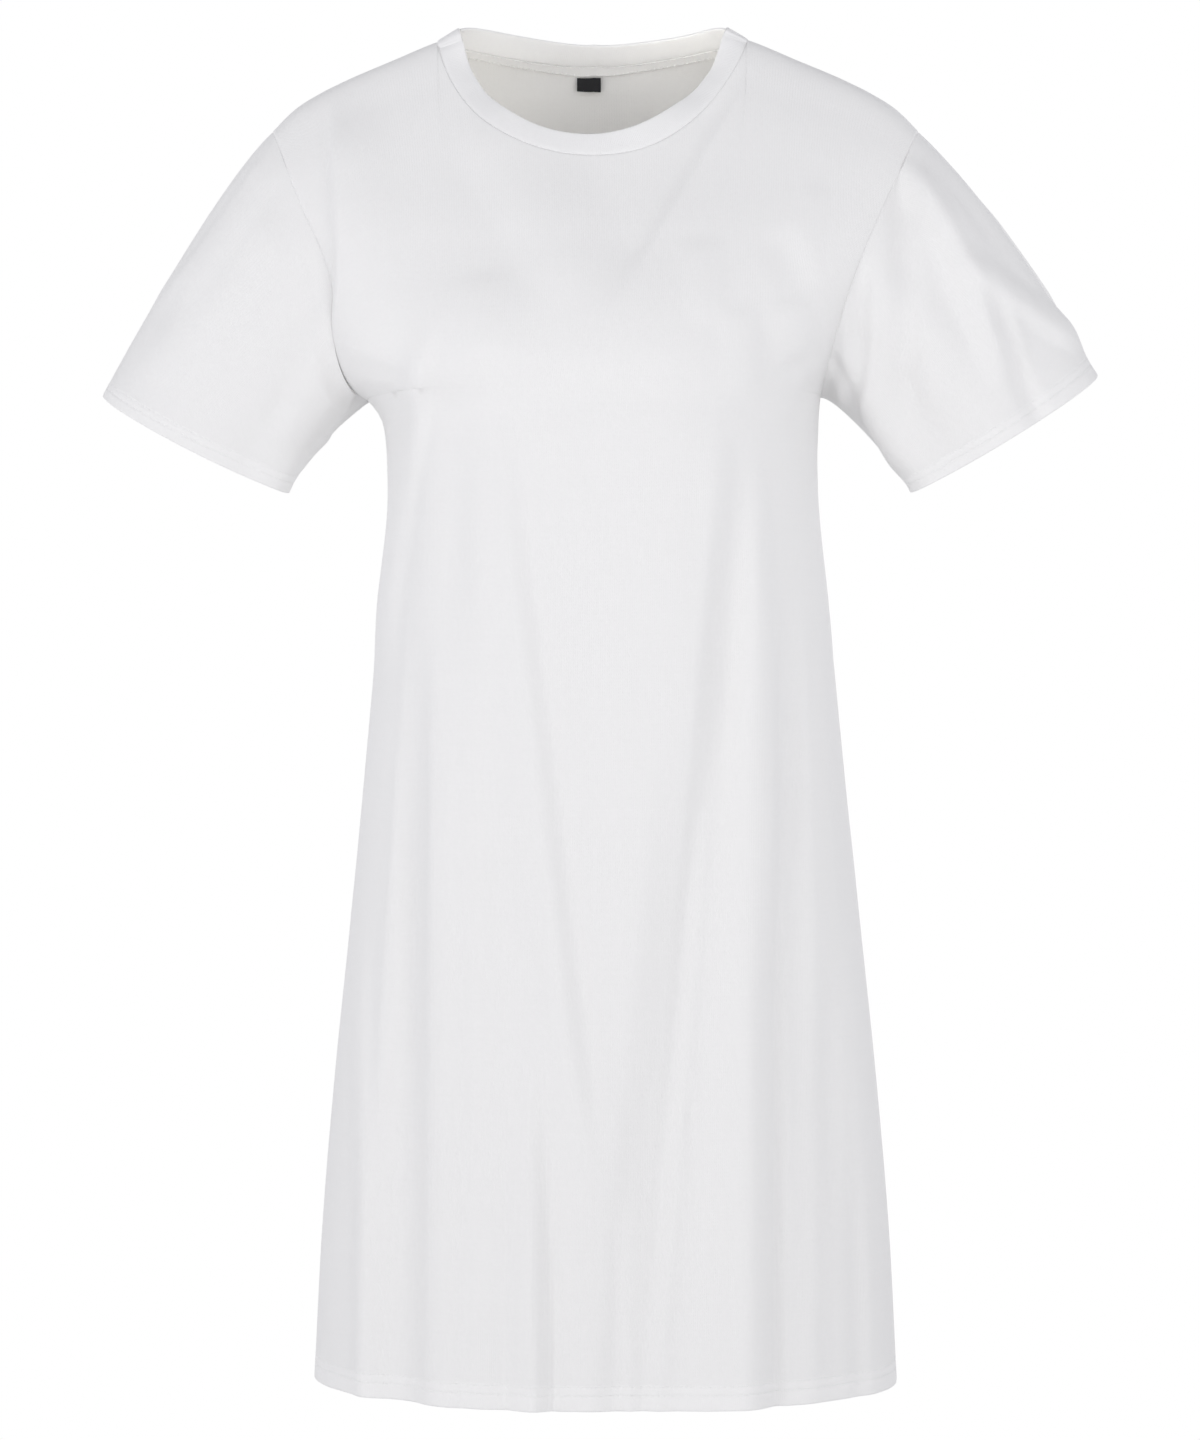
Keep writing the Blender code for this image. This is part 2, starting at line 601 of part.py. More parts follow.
def share_seam_normals(grids, places):
    """Gives pieces that meet at a point the same normal there, so that their rims are parallel."""
    total = unit(sum(grid[place] for grid, place in zip(grids, places)))
    for grid, place in zip(grids, places):
        grid[place] = total


def join_side_and_shoulder_normals(front, back):
    """Makes the front's and back's normals agree along the side seams and shoulder seams."""
    over = COLUMNS_OVER_SHOULDER + 1
    for edge in (0, -1):
        for row in range(UNDERARM_ROW + 1):
            share_seam_normals((front, back), ((row, edge), (row, edge)))
    count = front.shape[1]
    for place in list(range(over)) + list(range(count - over, count)):
        share_seam_normals((front, back), ((-1, place), (-1, place)))


def join_armhole_normals(front, back, sleeve, side):
    """Makes the sleeve's normals at its top agree with both panels' round the armhole."""
    edge = 0 if side < 0 else -1
    rows = front.shape[0]
    half = rows - 1 - UNDERARM_ROW
    for step in range(half + 1):
        place = (rows - 1 - step, edge)
        mates = [(front, place), (sleeve, (0, step))]
        if step in (0, half):
            mates.append((back, place))
        share_seam_normals([mate[0] for mate in mates], [mate[1] for mate in mates])
    for step in range(1, half):
        place = (UNDERARM_ROW + step, edge)
        share_seam_normals((back, sleeve), (place, (0, half + step)))


def open_panel_seams(points):
    """Draws a panel back by half a gap from its side seams and shoulder seams."""
    opened = points.copy()
    rows = slice(0, UNDERARM_ROW + 1)
    for edge, inside in ((0, 1), (-1, -2)):
        opened[rows, edge] += unit(points[rows, inside] - points[rows, edge]) * SEAM_GAP / 2
    over = COLUMNS_OVER_SHOULDER + 1
    for places in (slice(0, over), slice(points.shape[1] - over, points.shape[1])):
        opened[-1, places] += unit(points[-2, places] - points[-1, places]) * SEAM_GAP / 2
    return opened


def open_armhole_seam(points, normals, leave):
    """Moves the top of a sleeve off the armhole by a gap, square to the seam."""
    loop = points[0]
    along_seam = np.roll(loop, -1, axis=0) - np.roll(loop, 1, axis=0)
    off = unit(np.cross(normals[0], along_seam))
    off *= np.sign((off * leave).sum(axis=1, keepdims=True))
    opened = points.copy()
    opened[0] += off * SEAM_GAP
    return opened


def hem_depths(rows, columns, hem_rows):
    """The wall's thickness at each point, with the hem's rows thicker."""
    depth = np.full((rows, columns), WALL)
    depth[hem_rows] = HEM_WALL
    return depth


def neck_ring(front, back):
    """Points round the neck: the front from left to right, then the back from right to left."""
    over = COLUMNS_OVER_SHOULDER
    last = front.shape[1] - over
    return np.concatenate((front[-1, over:last], back[-1, over + 1 : last - 1][::-1]))


def add_neck_band(front, back, front_normals, back_normals):
    """The folded band round the neck, a closed ring that stands on the neck seam."""
    ring = neck_ring(front, back)
    normals = neck_ring(front_normals, back_normals)
    along = np.roll(ring, -1, axis=0) - np.roll(ring, 1, axis=0)
    centre = np.array((NECK_CENTRE_X, NECK_SIDE_Y, 0.0))
    into_neck = np.cross((0.0, 0.0, 1.0), unit(along * (1, 1, 0)))
    into_neck *= np.sign((into_neck * (centre - ring)).sum(axis=1, keepdims=True))
    off = unit(np.cross(normals, along))
    off *= np.sign((off * (into_neck + (0, 0, 1))).sum(axis=1, keepdims=True))
    aside = ring[:, 0] - NECK_CENTRE_X
    place = np.arctan2(np.abs(aside), NECK_SIDE_Y - ring[:, 1]) / math.pi
    places = column(BAND_ROWS, BAND_COLUMNS, "place")
    lean_left = smooth_through(places, column(BAND_ROWS, BAND_COLUMNS, "left"), place)
    lean_right = smooth_through(places, column(BAND_ROWS, BAND_COLUMNS, "right"), place)
    lean = np.radians(np.where(aside < 0, lean_left, lean_right))[:, None]
    up = into_neck * np.sin(lean) + np.array((0, 0, 1)) * np.cos(lean)
    run = unit(along)
    up = unit(up - run * (up * run).sum(axis=1, keepdims=True))
    face = unit(np.cross(along, up))
    face *= np.sign((face * normals).sum(axis=1, keepdims=True))
    foot = ring + off * BAND_GAP
    half = BAND_WALL / 2
    outer = [foot + normals * BAND_PROUD]
    inner = [foot - normals * (BAND_WALL - BAND_PROUD)]
    middle = foot - normals * (half - BAND_PROUD)
    for share in (0.3, 0.65, 1 - half / BAND_WIDTH):
        spine = middle + up * BAND_WIDTH * share
        outer.append(spine + face * half)
        inner.append(spine - face * half)
    section = outer + [middle + up * BAND_WIDTH] + inner[::-1]
    rows, columns = len(section), len(ring)
    faces = []
    for row in range(rows):
        for step in range(columns):
            a = row * columns + step
            b = row * columns + (step + 1) % columns
            c = (row + 1) % rows * columns + (step + 1) % columns
            d = (row + 1) % rows * columns + step
            faces.append((a, b, c))
            faces.append((a, c, d))
    add_piece("neck_band", np.concatenate(section), faces, COTTON_WHITE)


def inside_back(share, grow):
    """Points on the back panel's outer face a distance below the neck seam, with normals."""
    level = top_levels("back", share, grow)
    points = body_surface("back", share, level)[0]
    return points, surface_normals(body_surface, "back", share, level)


def add_inside_strip(name, shares, grows, thickness, colour):
    """A flat strip that lies inside the back neck, made from the panel's points moved in."""
    grid = [inside_back(row, grow) for row, grow in zip(shares, grows)]
    points = np.array([row[0] for row in grid])
    normals = np.array([row[1] for row in grid])
    half = points.shape[1] // 2
    add_wall(name, points - normals * TAPE_DEPTH, normals, thickness, False, half, colour)


def add_neck_tape():
    """The tape over the back neck seam, from one shoulder seam to the other."""
    place = np.sin(np.linspace(-math.pi / 2, math.pi / 2, TAPE_COLUMNS))
    grows = (SEAM_GAP, TAPE_WIDTH / 2, TAPE_WIDTH)
    shares = [place * neck_shares(place, grow) * TAPE_REACH for grow in grows]
    add_inside_strip("neck_tape", shares, grows, TAPE_WALL, COTTON_WHITE)


def add_size_label():
    """The small woven tab that hangs from the tape."""
    x = LABEL_CENTRE_X + LABEL_WIDTH * np.linspace(-0.5, 0.5, 5)
    shares, grows = [], []
    for down in (0.0, 0.5, 1.0):
        grow = TAPE_WIDTH + SEAM_GAP * 2 + LABEL_HEIGHT * down
        level = top_levels("back", 0.0, grow)
        half_length = body_surface("back", 0.0, level)[2]
        shares.append((x - body_value("shift", level)) / half_length)
        grows.append(grow + LABEL_SLANT * (x - LABEL_CENTRE_X) * down)
    add_inside_strip("size_label", shares, grows, TAPE_WALL, LABEL_BLACK)


def clear_scene():
    """Removes what is in the scene."""
    for thing in list(bpy.data.objects):
        bpy.data.objects.remove(thing, do_unlink=True)


def main():
    """Builds every piece of the dress."""
    clear_scene()
    front, front_normals = panel_grid("front")
    back, back_normals = panel_grid("back")
    join_side_and_shoulder_normals(front_normals, back_normals)
    for row in SLEEVE_ROWS:
        sleeve = dict(zip(SLEEVE_COLUMNS, row))
        loop = armhole_loop(front, back, sleeve["side"])
        points, leave = sleeve_points(sleeve, loop)
        normals = tube_normals(points, sleeve["side"])
        join_armhole_normals(front_normals, back_normals, normals, sleeve["side"])
        points = open_armhole_seam(points, normals, leave)
        depth = hem_depths(*points.shape[:2], slice(-2, None))
        first_turned = 0 if sleeve["side"] < 0 else points.shape[1]
        add_wall(sleeve["name"], points, normals, depth, True, first_turned, COTTON_WHITE)
    depth = hem_depths(*front.shape[:2], slice(0, 2))
    for name, points, normals in (
        ("front_panel", front, front_normals),
        ("back_panel", back, back_normals),
    ):
        half = points.shape[1] // 2
        add_wall(name, open_panel_seams(points), normals, depth, False, half, COTTON_WHITE)
    add_neck_band(front, back, front_normals, back_normals)
    add_neck_tape()
    add_size_label()


main()
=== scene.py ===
import math

import bmesh
import bpy
import numpy as np
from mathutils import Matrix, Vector
from mathutils.kdtree import KDTree


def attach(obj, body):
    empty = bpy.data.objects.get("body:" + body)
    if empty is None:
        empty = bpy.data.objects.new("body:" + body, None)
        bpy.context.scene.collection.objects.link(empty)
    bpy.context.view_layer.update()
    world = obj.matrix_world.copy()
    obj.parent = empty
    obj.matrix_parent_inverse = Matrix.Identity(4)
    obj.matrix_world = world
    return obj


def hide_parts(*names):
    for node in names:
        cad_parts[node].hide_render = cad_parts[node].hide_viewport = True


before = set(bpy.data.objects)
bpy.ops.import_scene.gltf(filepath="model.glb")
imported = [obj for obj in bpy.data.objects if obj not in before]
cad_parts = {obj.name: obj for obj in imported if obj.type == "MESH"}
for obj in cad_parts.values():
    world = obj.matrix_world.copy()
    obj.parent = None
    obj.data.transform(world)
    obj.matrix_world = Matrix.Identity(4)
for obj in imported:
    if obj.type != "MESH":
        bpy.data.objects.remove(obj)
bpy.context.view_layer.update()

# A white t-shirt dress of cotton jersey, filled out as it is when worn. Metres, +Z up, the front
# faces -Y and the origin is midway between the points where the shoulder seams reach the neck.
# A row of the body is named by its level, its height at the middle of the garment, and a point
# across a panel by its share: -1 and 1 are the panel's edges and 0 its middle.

# Cloth
WALL = 0.0009  # one layer of jersey
SEAM_DIP = 0.0006  # how far the cloth rolls in at a seam
NECK_SEAM_DIP = 0.0004  # how much further below the neck band
SEAM_ROLL = 0.0016  # over this distance
HEM_HEIGHT = 0.0165
STITCH_ROWS = (0.0097, 0.0150)  # rows of stitching above the edge of a hem
STITCH_SINK = 0.00028  # how far they draw the cloth in
STITCH_REACH = 0.0010
HEM_END = 0.0006  # over which the layer turned up inside a hem ends
HEM_TONE_END = 0.0008  # over which the brighter tone of the doubled cloth ends
HEM_RIPPLE = 0.00022  # how far a hem ripples in and out
HEM_RIPPLE_MIDDLE = 0.55  # where it ripples most, as a share of the lower row's height
HEM_RIPPLE_SLANT = 0.6
EDGE_ROUNDING = 0.96  # 1 rounds a cut edge fully
SEAM_ROUNDING = 0.98
RIPPLE_WAVES = ((0.0131, 0.30), (0.0217, 0.34), (0.0379, 0.36))  # the length and share of each
RIPPLE_SEEDS = {"front": 1, "back": 5, "sleeve_left": 2, "sleeve_right": 4, "neck_band": 2}
RIPPLE_SEED_STEP = 1.7
SHARP_ANGLE = 60  # degrees, from which an edge of the cloth stays crisp

# Levels of the body
HEM_LEVEL = -0.860
HEM_SLANT = 0.008  # the slope at which the hem drops to the right
UNDERARM_LEVEL = -0.229
CHEST_LEVEL = -0.150
SHOULDER_LEVEL = 0.0

# Neck opening, at the seam of the neck band
NECK_CENTRE_X = -0.0045
NECK_HALF_WIDTH = 0.0990
NECK_SIDE_Y = 0.004
NECK_FRONT_DROP = 0.0810
NECK_BACK_DEPTH = 0.0580
NECK_BACK_SLOPE = 0.42  # how far behind its seam a place lies for each step below it
NECK_LEFT_POWERS = (2.4, 1.6)
NECK_RIGHT_POWERS = (2.1, 1.3)
NECK_BACK_POWER = 1.7
BAND_WIDTH = 0.0160
BAND_WALL = 0.0022
BAND_PUCKER = 0.00025
BAND_STEPS = (0.0, 0.02, 0.05, 0.10, 0.18, 0.3, 0.45, 0.6, 0.75, 0.88, 1.0)  # up its side
BAND_TOP_ANGLES = (30, 60, 90)  # degrees, round the fold on top
BAND_FOOT = 0.55  # its thickness at the seam, as a share of the whole
BAND_SWELL = 0.45  # how much thicker it gets
BAND_SWELL_END = 0.16  # by this share of its side
BAND_CROWN = 0.06

# Back neck tape and size label, inside. Depths are measured in from the back's outer face.
TAPE_WIDTH = 0.0105
TAPE_STEPS = (0.0003, 0.0008, 0.0015, 0.0030, 0.0052, 0.0075, 0.0090, 0.0097, 0.0102, TAPE_WIDTH)
TAPE_COLUMNS = 121
TAPE_WALL = 0.0008
TAPE_DEPTH = 0.0016
TAPE_EDGE_DIP = 0.0003
TAPE_REACH = 0.99  # 1 ends it at the shoulder seams
TAPE_STITCH_STEPS = (1, 6)  # the places in TAPE_STEPS of its two rows of stitching
LABEL_WIDTH = 0.0156
LABEL_HEIGHT = 0.0104
LABEL_GAP = 0.0006  # below the tape
LABEL_WALL = 0.0008
LABEL_DEPTH = 0.0027
LABEL_LIFT = 0.0004  # how far its lower edge stands away
LABEL_CURL = 0.6  # how much further its corners do
LABEL_CENTRE_X = -0.0072
LABEL_SLANT = 0.026
LABEL_COLUMNS = 25
LABEL_ROWS = 17

# Grid of the meshes
COLUMNS_IN_NECK = 42
COLUMNS_OVER_SHOULDER = 44
ROWS_OF_BODY = 118
ROWS_TO_CHEST = 28
ROWS_TO_TOP = 42
ROWS_ALONG_SLEEVE = 64
SEAM_STEPS = (0.0004, 0.0009, 0.0015, 0.0023)  # rows and columns beside a seam
HEM_STEPS = (
    0.0, 0.0004, 0.0012, 0.0026, 0.0044, 0.0062, 0.0078, 0.0088, 0.0093, 0.0097, 0.0101, 0.0106,
    0.0116, 0.0128, 0.0138, 0.0145, 0.0150, 0.0155, 0.0161, 0.0165, 0.0172, 0.0184,
)
UNDERARM_ROW = len(HEM_STEPS) - 1 + ROWS_OF_BODY
NECK_PLACE = len(SEAM_STEPS) + COLUMNS_OVER_SHOULDER  # columns outside the neck, on each side
CHEST_CROWDING = 1.6  # above 1, rows stand closer near the underarm
TOP_CROWDING = 1.4  # and near the top
TURN_STEPS = 161
NECKLINE_STEPS = 241
NECKLINE_CROWDING = 4  # steps along the neckline stand closer near the shoulder seam
NECK_HALVINGS = 40
LEVEL_HALVINGS = 32
SQUARENESS = 2.35  # of the body's sections: 2 is round
EDGE_POWER = 4  # how close to the edge a row takes up its longer or shorter length
SMALL_STEP = 0.0005

# Sewing thread
STITCH_PITCH = 0.0029
STITCH_LENGTH = 0.0023
STITCH_WIDTH = 0.00055
STITCH_SIDES = 6
# Stations along a stitch: how far along it, and how thick and how high, as shares of its radius
STITCH_STATIONS = (
    (-0.5, 0.05, -0.6), (-0.32, 0.8, 0.1), (0.0, 1.0, 0.45), (0.32, 0.8, 0.1), (0.5, 0.05, -0.6),
)
STITCH_FLATNESS = 0.7
STITCH_AHEAD = 0.001  # how far along the line a stitch looks for its direction
TAPE_STITCH_WIDTH = 0.0012
TAPE_STITCH_LENGTH = 0.0017

# The body's sections from the hem up: half its width and how far its middle is shifted to the
# right, where its sides are, and where the middle of its front and of its back is.
BODY_COLUMNS = (
    "level", "half_width", "shift", "edge_z", "side_y", "front_y", "front_z", "back_y", "back_z",
)
BODY_ROWS = (
    (-0.860, 0.1858, 0.0036, -0.8550, -0.002, -0.1310, -0.860, 0.1270, -0.858),
    (-0.760, 0.1808, 0.0036, -0.7570, 0.000, -0.1285, -0.760, 0.1235, -0.759),
    (-0.660, 0.1725, 0.0035, -0.6580, 0.001, -0.1255, -0.660, 0.1190, -0.659),
    (-0.560, 0.1622, 0.0034, -0.5580, 0.002, -0.1225, -0.560, 0.1135, -0.560),
    (-0.460, 0.1526, 0.0031, -0.4590, 0.003, -0.1205, -0.460, 0.1085, -0.460),
    (-0.360, 0.1436, 0.0026, -0.3600, 0.004, -0.1205, -0.360, 0.1045, -0.360),
    (-0.288, 0.1376, 0.0018, -0.2880, 0.004, -0.1225, -0.288, 0.1040, -0.288),
    (-0.250, 0.1386, 0.0008, -0.2500, 0.004, -0.1222, -0.250, 0.1055, -0.250),
    (-0.229, 0.1412, -0.0002, -0.2290, 0.004, -0.1203, -0.229, 0.1066, -0.229),
    (-0.205, 0.1470, -0.0022, -0.2085, 0.004, -0.1160, -0.205, 0.1074, -0.205),
    (-0.170, 0.1575, -0.0040, -0.1760, 0.004, -0.1080, -0.170, 0.1062, -0.168),
    (-0.130, 0.1700, -0.0045, -0.1420, 0.004, -0.0930, -0.130, 0.1000, -0.124),
    (-0.090, 0.1840, -0.0048, -0.1100, 0.004, -0.0715, -0.088, 0.0860, -0.068),
    (-0.045, 0.1975, -0.0036, -0.0790, 0.004, -0.0400, -0.022, 0.0590, -0.004),
    (-0.020, 0.2042, -0.0032, -0.0625, 0.004, -0.0190, 0.0130, 0.0300, 0.0145),
    (0.000, 0.2070, -0.0028, -0.0580, 0.004, 0.0040, 0.0180, 0.0040, 0.0180),
)

# The armhole from the underarm up to the shoulder: how far it lies before and behind the side.
ARMHOLE_COLUMNS = ("level", "front", "back")
ARMHOLE_ROWS = (
    (-0.229, 0.000, 0.000),
    (-0.222, 0.020, 0.020),
    (-0.205, 0.041, 0.041),
    (-0.170, 0.058, 0.057),
    (-0.130, 0.0595, 0.058),
    (-0.090, 0.049, 0.048),
    (-0.045, 0.032, 0.030),
    (-0.020, 0.017, 0.014),
    (0.000, 0.000, 0.000),
)
SHOULDER_TRIM = 0.74  # the most of a section's depth that an armhole takes away

# How a section near the shoulder falls from its middle to its edge, as shares of both
SHOULDER_COLUMNS = ("out", "down")
SHOULDER_ROWS = (
    (0.00, 0.000), (0.25, 0.100), (0.48, 0.240), (0.62, 0.395),
    (0.78, 0.580), (0.85, 0.675), (0.94, 0.835), (1.00, 1.000),
)

# The lean of the neck band from upright towards the neck, in degrees, on each side. Place 0 is
# the middle of the front, 0.5 the shoulder seam and 1 the middle of the back.
BAND_COLUMNS = ("place", "left", "right")
BAND_ROWS = (
    (0.00, 27, 27),
    (0.25, 35, 23),
    (0.38, 53, 58),
    (0.50, 57, 60),
    (0.56, 47, 51),
    (0.65, 35, 51),
    (0.80, 34, 45),
    (1.00, 40, 40),
)

# Long folds of the two panels, valleys with a depth below zero and ridges above it. Across is
# measured along the cloth from the panel's middle, to the right of a viewer facing the front.
FOLD_COLUMNS = (
    "panel", "top_level", "top_across", "hem_across", "top_reach", "hem_reach", "depth", "start",
)
FOLD_ROWS = (
    ("front", -0.200, -0.106, -0.152, 0.026, 0.034, 0.0035, 0.10),
    ("front", -0.330, -0.121, -0.136, 0.016, 0.026, -0.0082, 0.20),
    ("front", -0.250, -0.084, -0.081, 0.018, 0.020, 0.0040, 0.16),
    ("front", -0.235, -0.066, -0.030, 0.016, 0.020, -0.0015, 0.12),
    ("front", -0.600, -0.056, -0.059, 0.012, 0.014, -0.0040, 0.14),
    ("front", -0.500, -0.016, 0.000, 0.022, 0.024, 0.0035, 0.25),
    ("front", -0.245, 0.086, 0.041, 0.017, 0.026, -0.0065, 0.12),
    ("front", -0.235, 0.099, 0.091, 0.018, 0.026, 0.0050, 0.14),
    ("front", -0.300, 0.127, 0.118, 0.016, 0.022, -0.0055, 0.16),
    ("front", -0.520, 0.158, 0.170, 0.018, 0.020, -0.0030, 0.20),
    ("back", -0.210, -0.128, -0.140, 0.022, 0.030, 0.0040, 0.16),
    ("back", -0.260, -0.092, -0.106, 0.018, 0.022, -0.0055, 0.14),
    ("back", -0.330, -0.062, -0.070, 0.018, 0.024, 0.0045, 0.18),
    ("back", -0.230, -0.034, -0.030, 0.015, 0.020, -0.0045, 0.16),
    ("back", -0.400, 0.006, 0.014, 0.022, 0.026, 0.0040, 0.22),
    ("back", -0.250, 0.044, 0.058, 0.016, 0.021, -0.0060, 0.12),
    ("back", -0.300, 0.080, 0.094, 0.018, 0.024, 0.0045, 0.16),
    ("back", -0.225, 0.112, 0.130, 0.016, 0.020, -0.0050, 0.18),
)
FOLD_EDGE_FADE = 0.030  # how far from the panel's edge they reach their depth

# Cuffs: the outer and inner end of each as seen from the front, half its depth, the degrees it is
# turned to the front, how steeply the sleeve leaves the armhole on top and underneath, and how far
# that way and the cuff's pull on it, as shares of its length.
SLEEVE_COLUMNS = (
    "name", "side", "outer_x", "outer_z", "inner_x", "inner_z", "half_depth", "centre_y",
    "tilt", "top_slope", "under_slope", "top_pull", "under_pull",
)
SLEEVE_ROWS = (
    ("sleeve_left", -1, -0.3180, -0.2275, -0.1990, -0.2885, 0.0420, 0.001, 9, 42, 12, 0.62, 0.62),
    ("sleeve_right", 1, 0.3186, -0.2145, 0.1985, -0.2885, 0.0420, 0.001, 8, 43, -10, 0.95, 0.45),
)

# Folds of the sleeves. Turn is the angle round the sleeve in degrees: 0 on top, 90 in front,
# 180 underneath, 270 behind. Along runs from 0 at the armhole to 1 at the cuff.
SLEEVE_FOLD_COLUMNS = (
    "sleeve", "start_turn", "end_turn", "start_along", "end_along", "reach", "depth",
)
SLEEVE_FOLD_ROWS = (
    ("sleeve_left", 50, 56, 0.05, 0.85, 26, 0.0035),
    ("sleeve_left", 150, 160, 0.00, 0.80, 24, -0.0035),
    ("sleeve_left", 300, 285, 0.10, 0.95, 30, -0.0040),
    ("sleeve_left", 232, 240, 0.05, 0.90, 26, 0.0040),
    ("sleeve_left", 148, 150, 0.00, 1.00, 30, 0.0075),
    ("sleeve_right", 46, 56, 0.10, 0.80, 26, 0.0040),
    ("sleeve_right", 104, 96, 0.00, 1.00, 24, 0.0040),
    ("sleeve_right", 140, 132, 0.05, 0.90, 22, -0.0035),
    ("sleeve_right", 255, 262, 0.05, 0.95, 28, -0.0045),
    ("sleeve_right", 310, 300, 0.10, 0.90, 26, 0.0040),
    ("sleeve_right", 150, 152, 0.00, 1.00, 28, 0.0062),
)
FOLD_ALONG_FADE = 0.25
SLEEVE_RADIUS = 0.05  # roughly, for the seam underneath

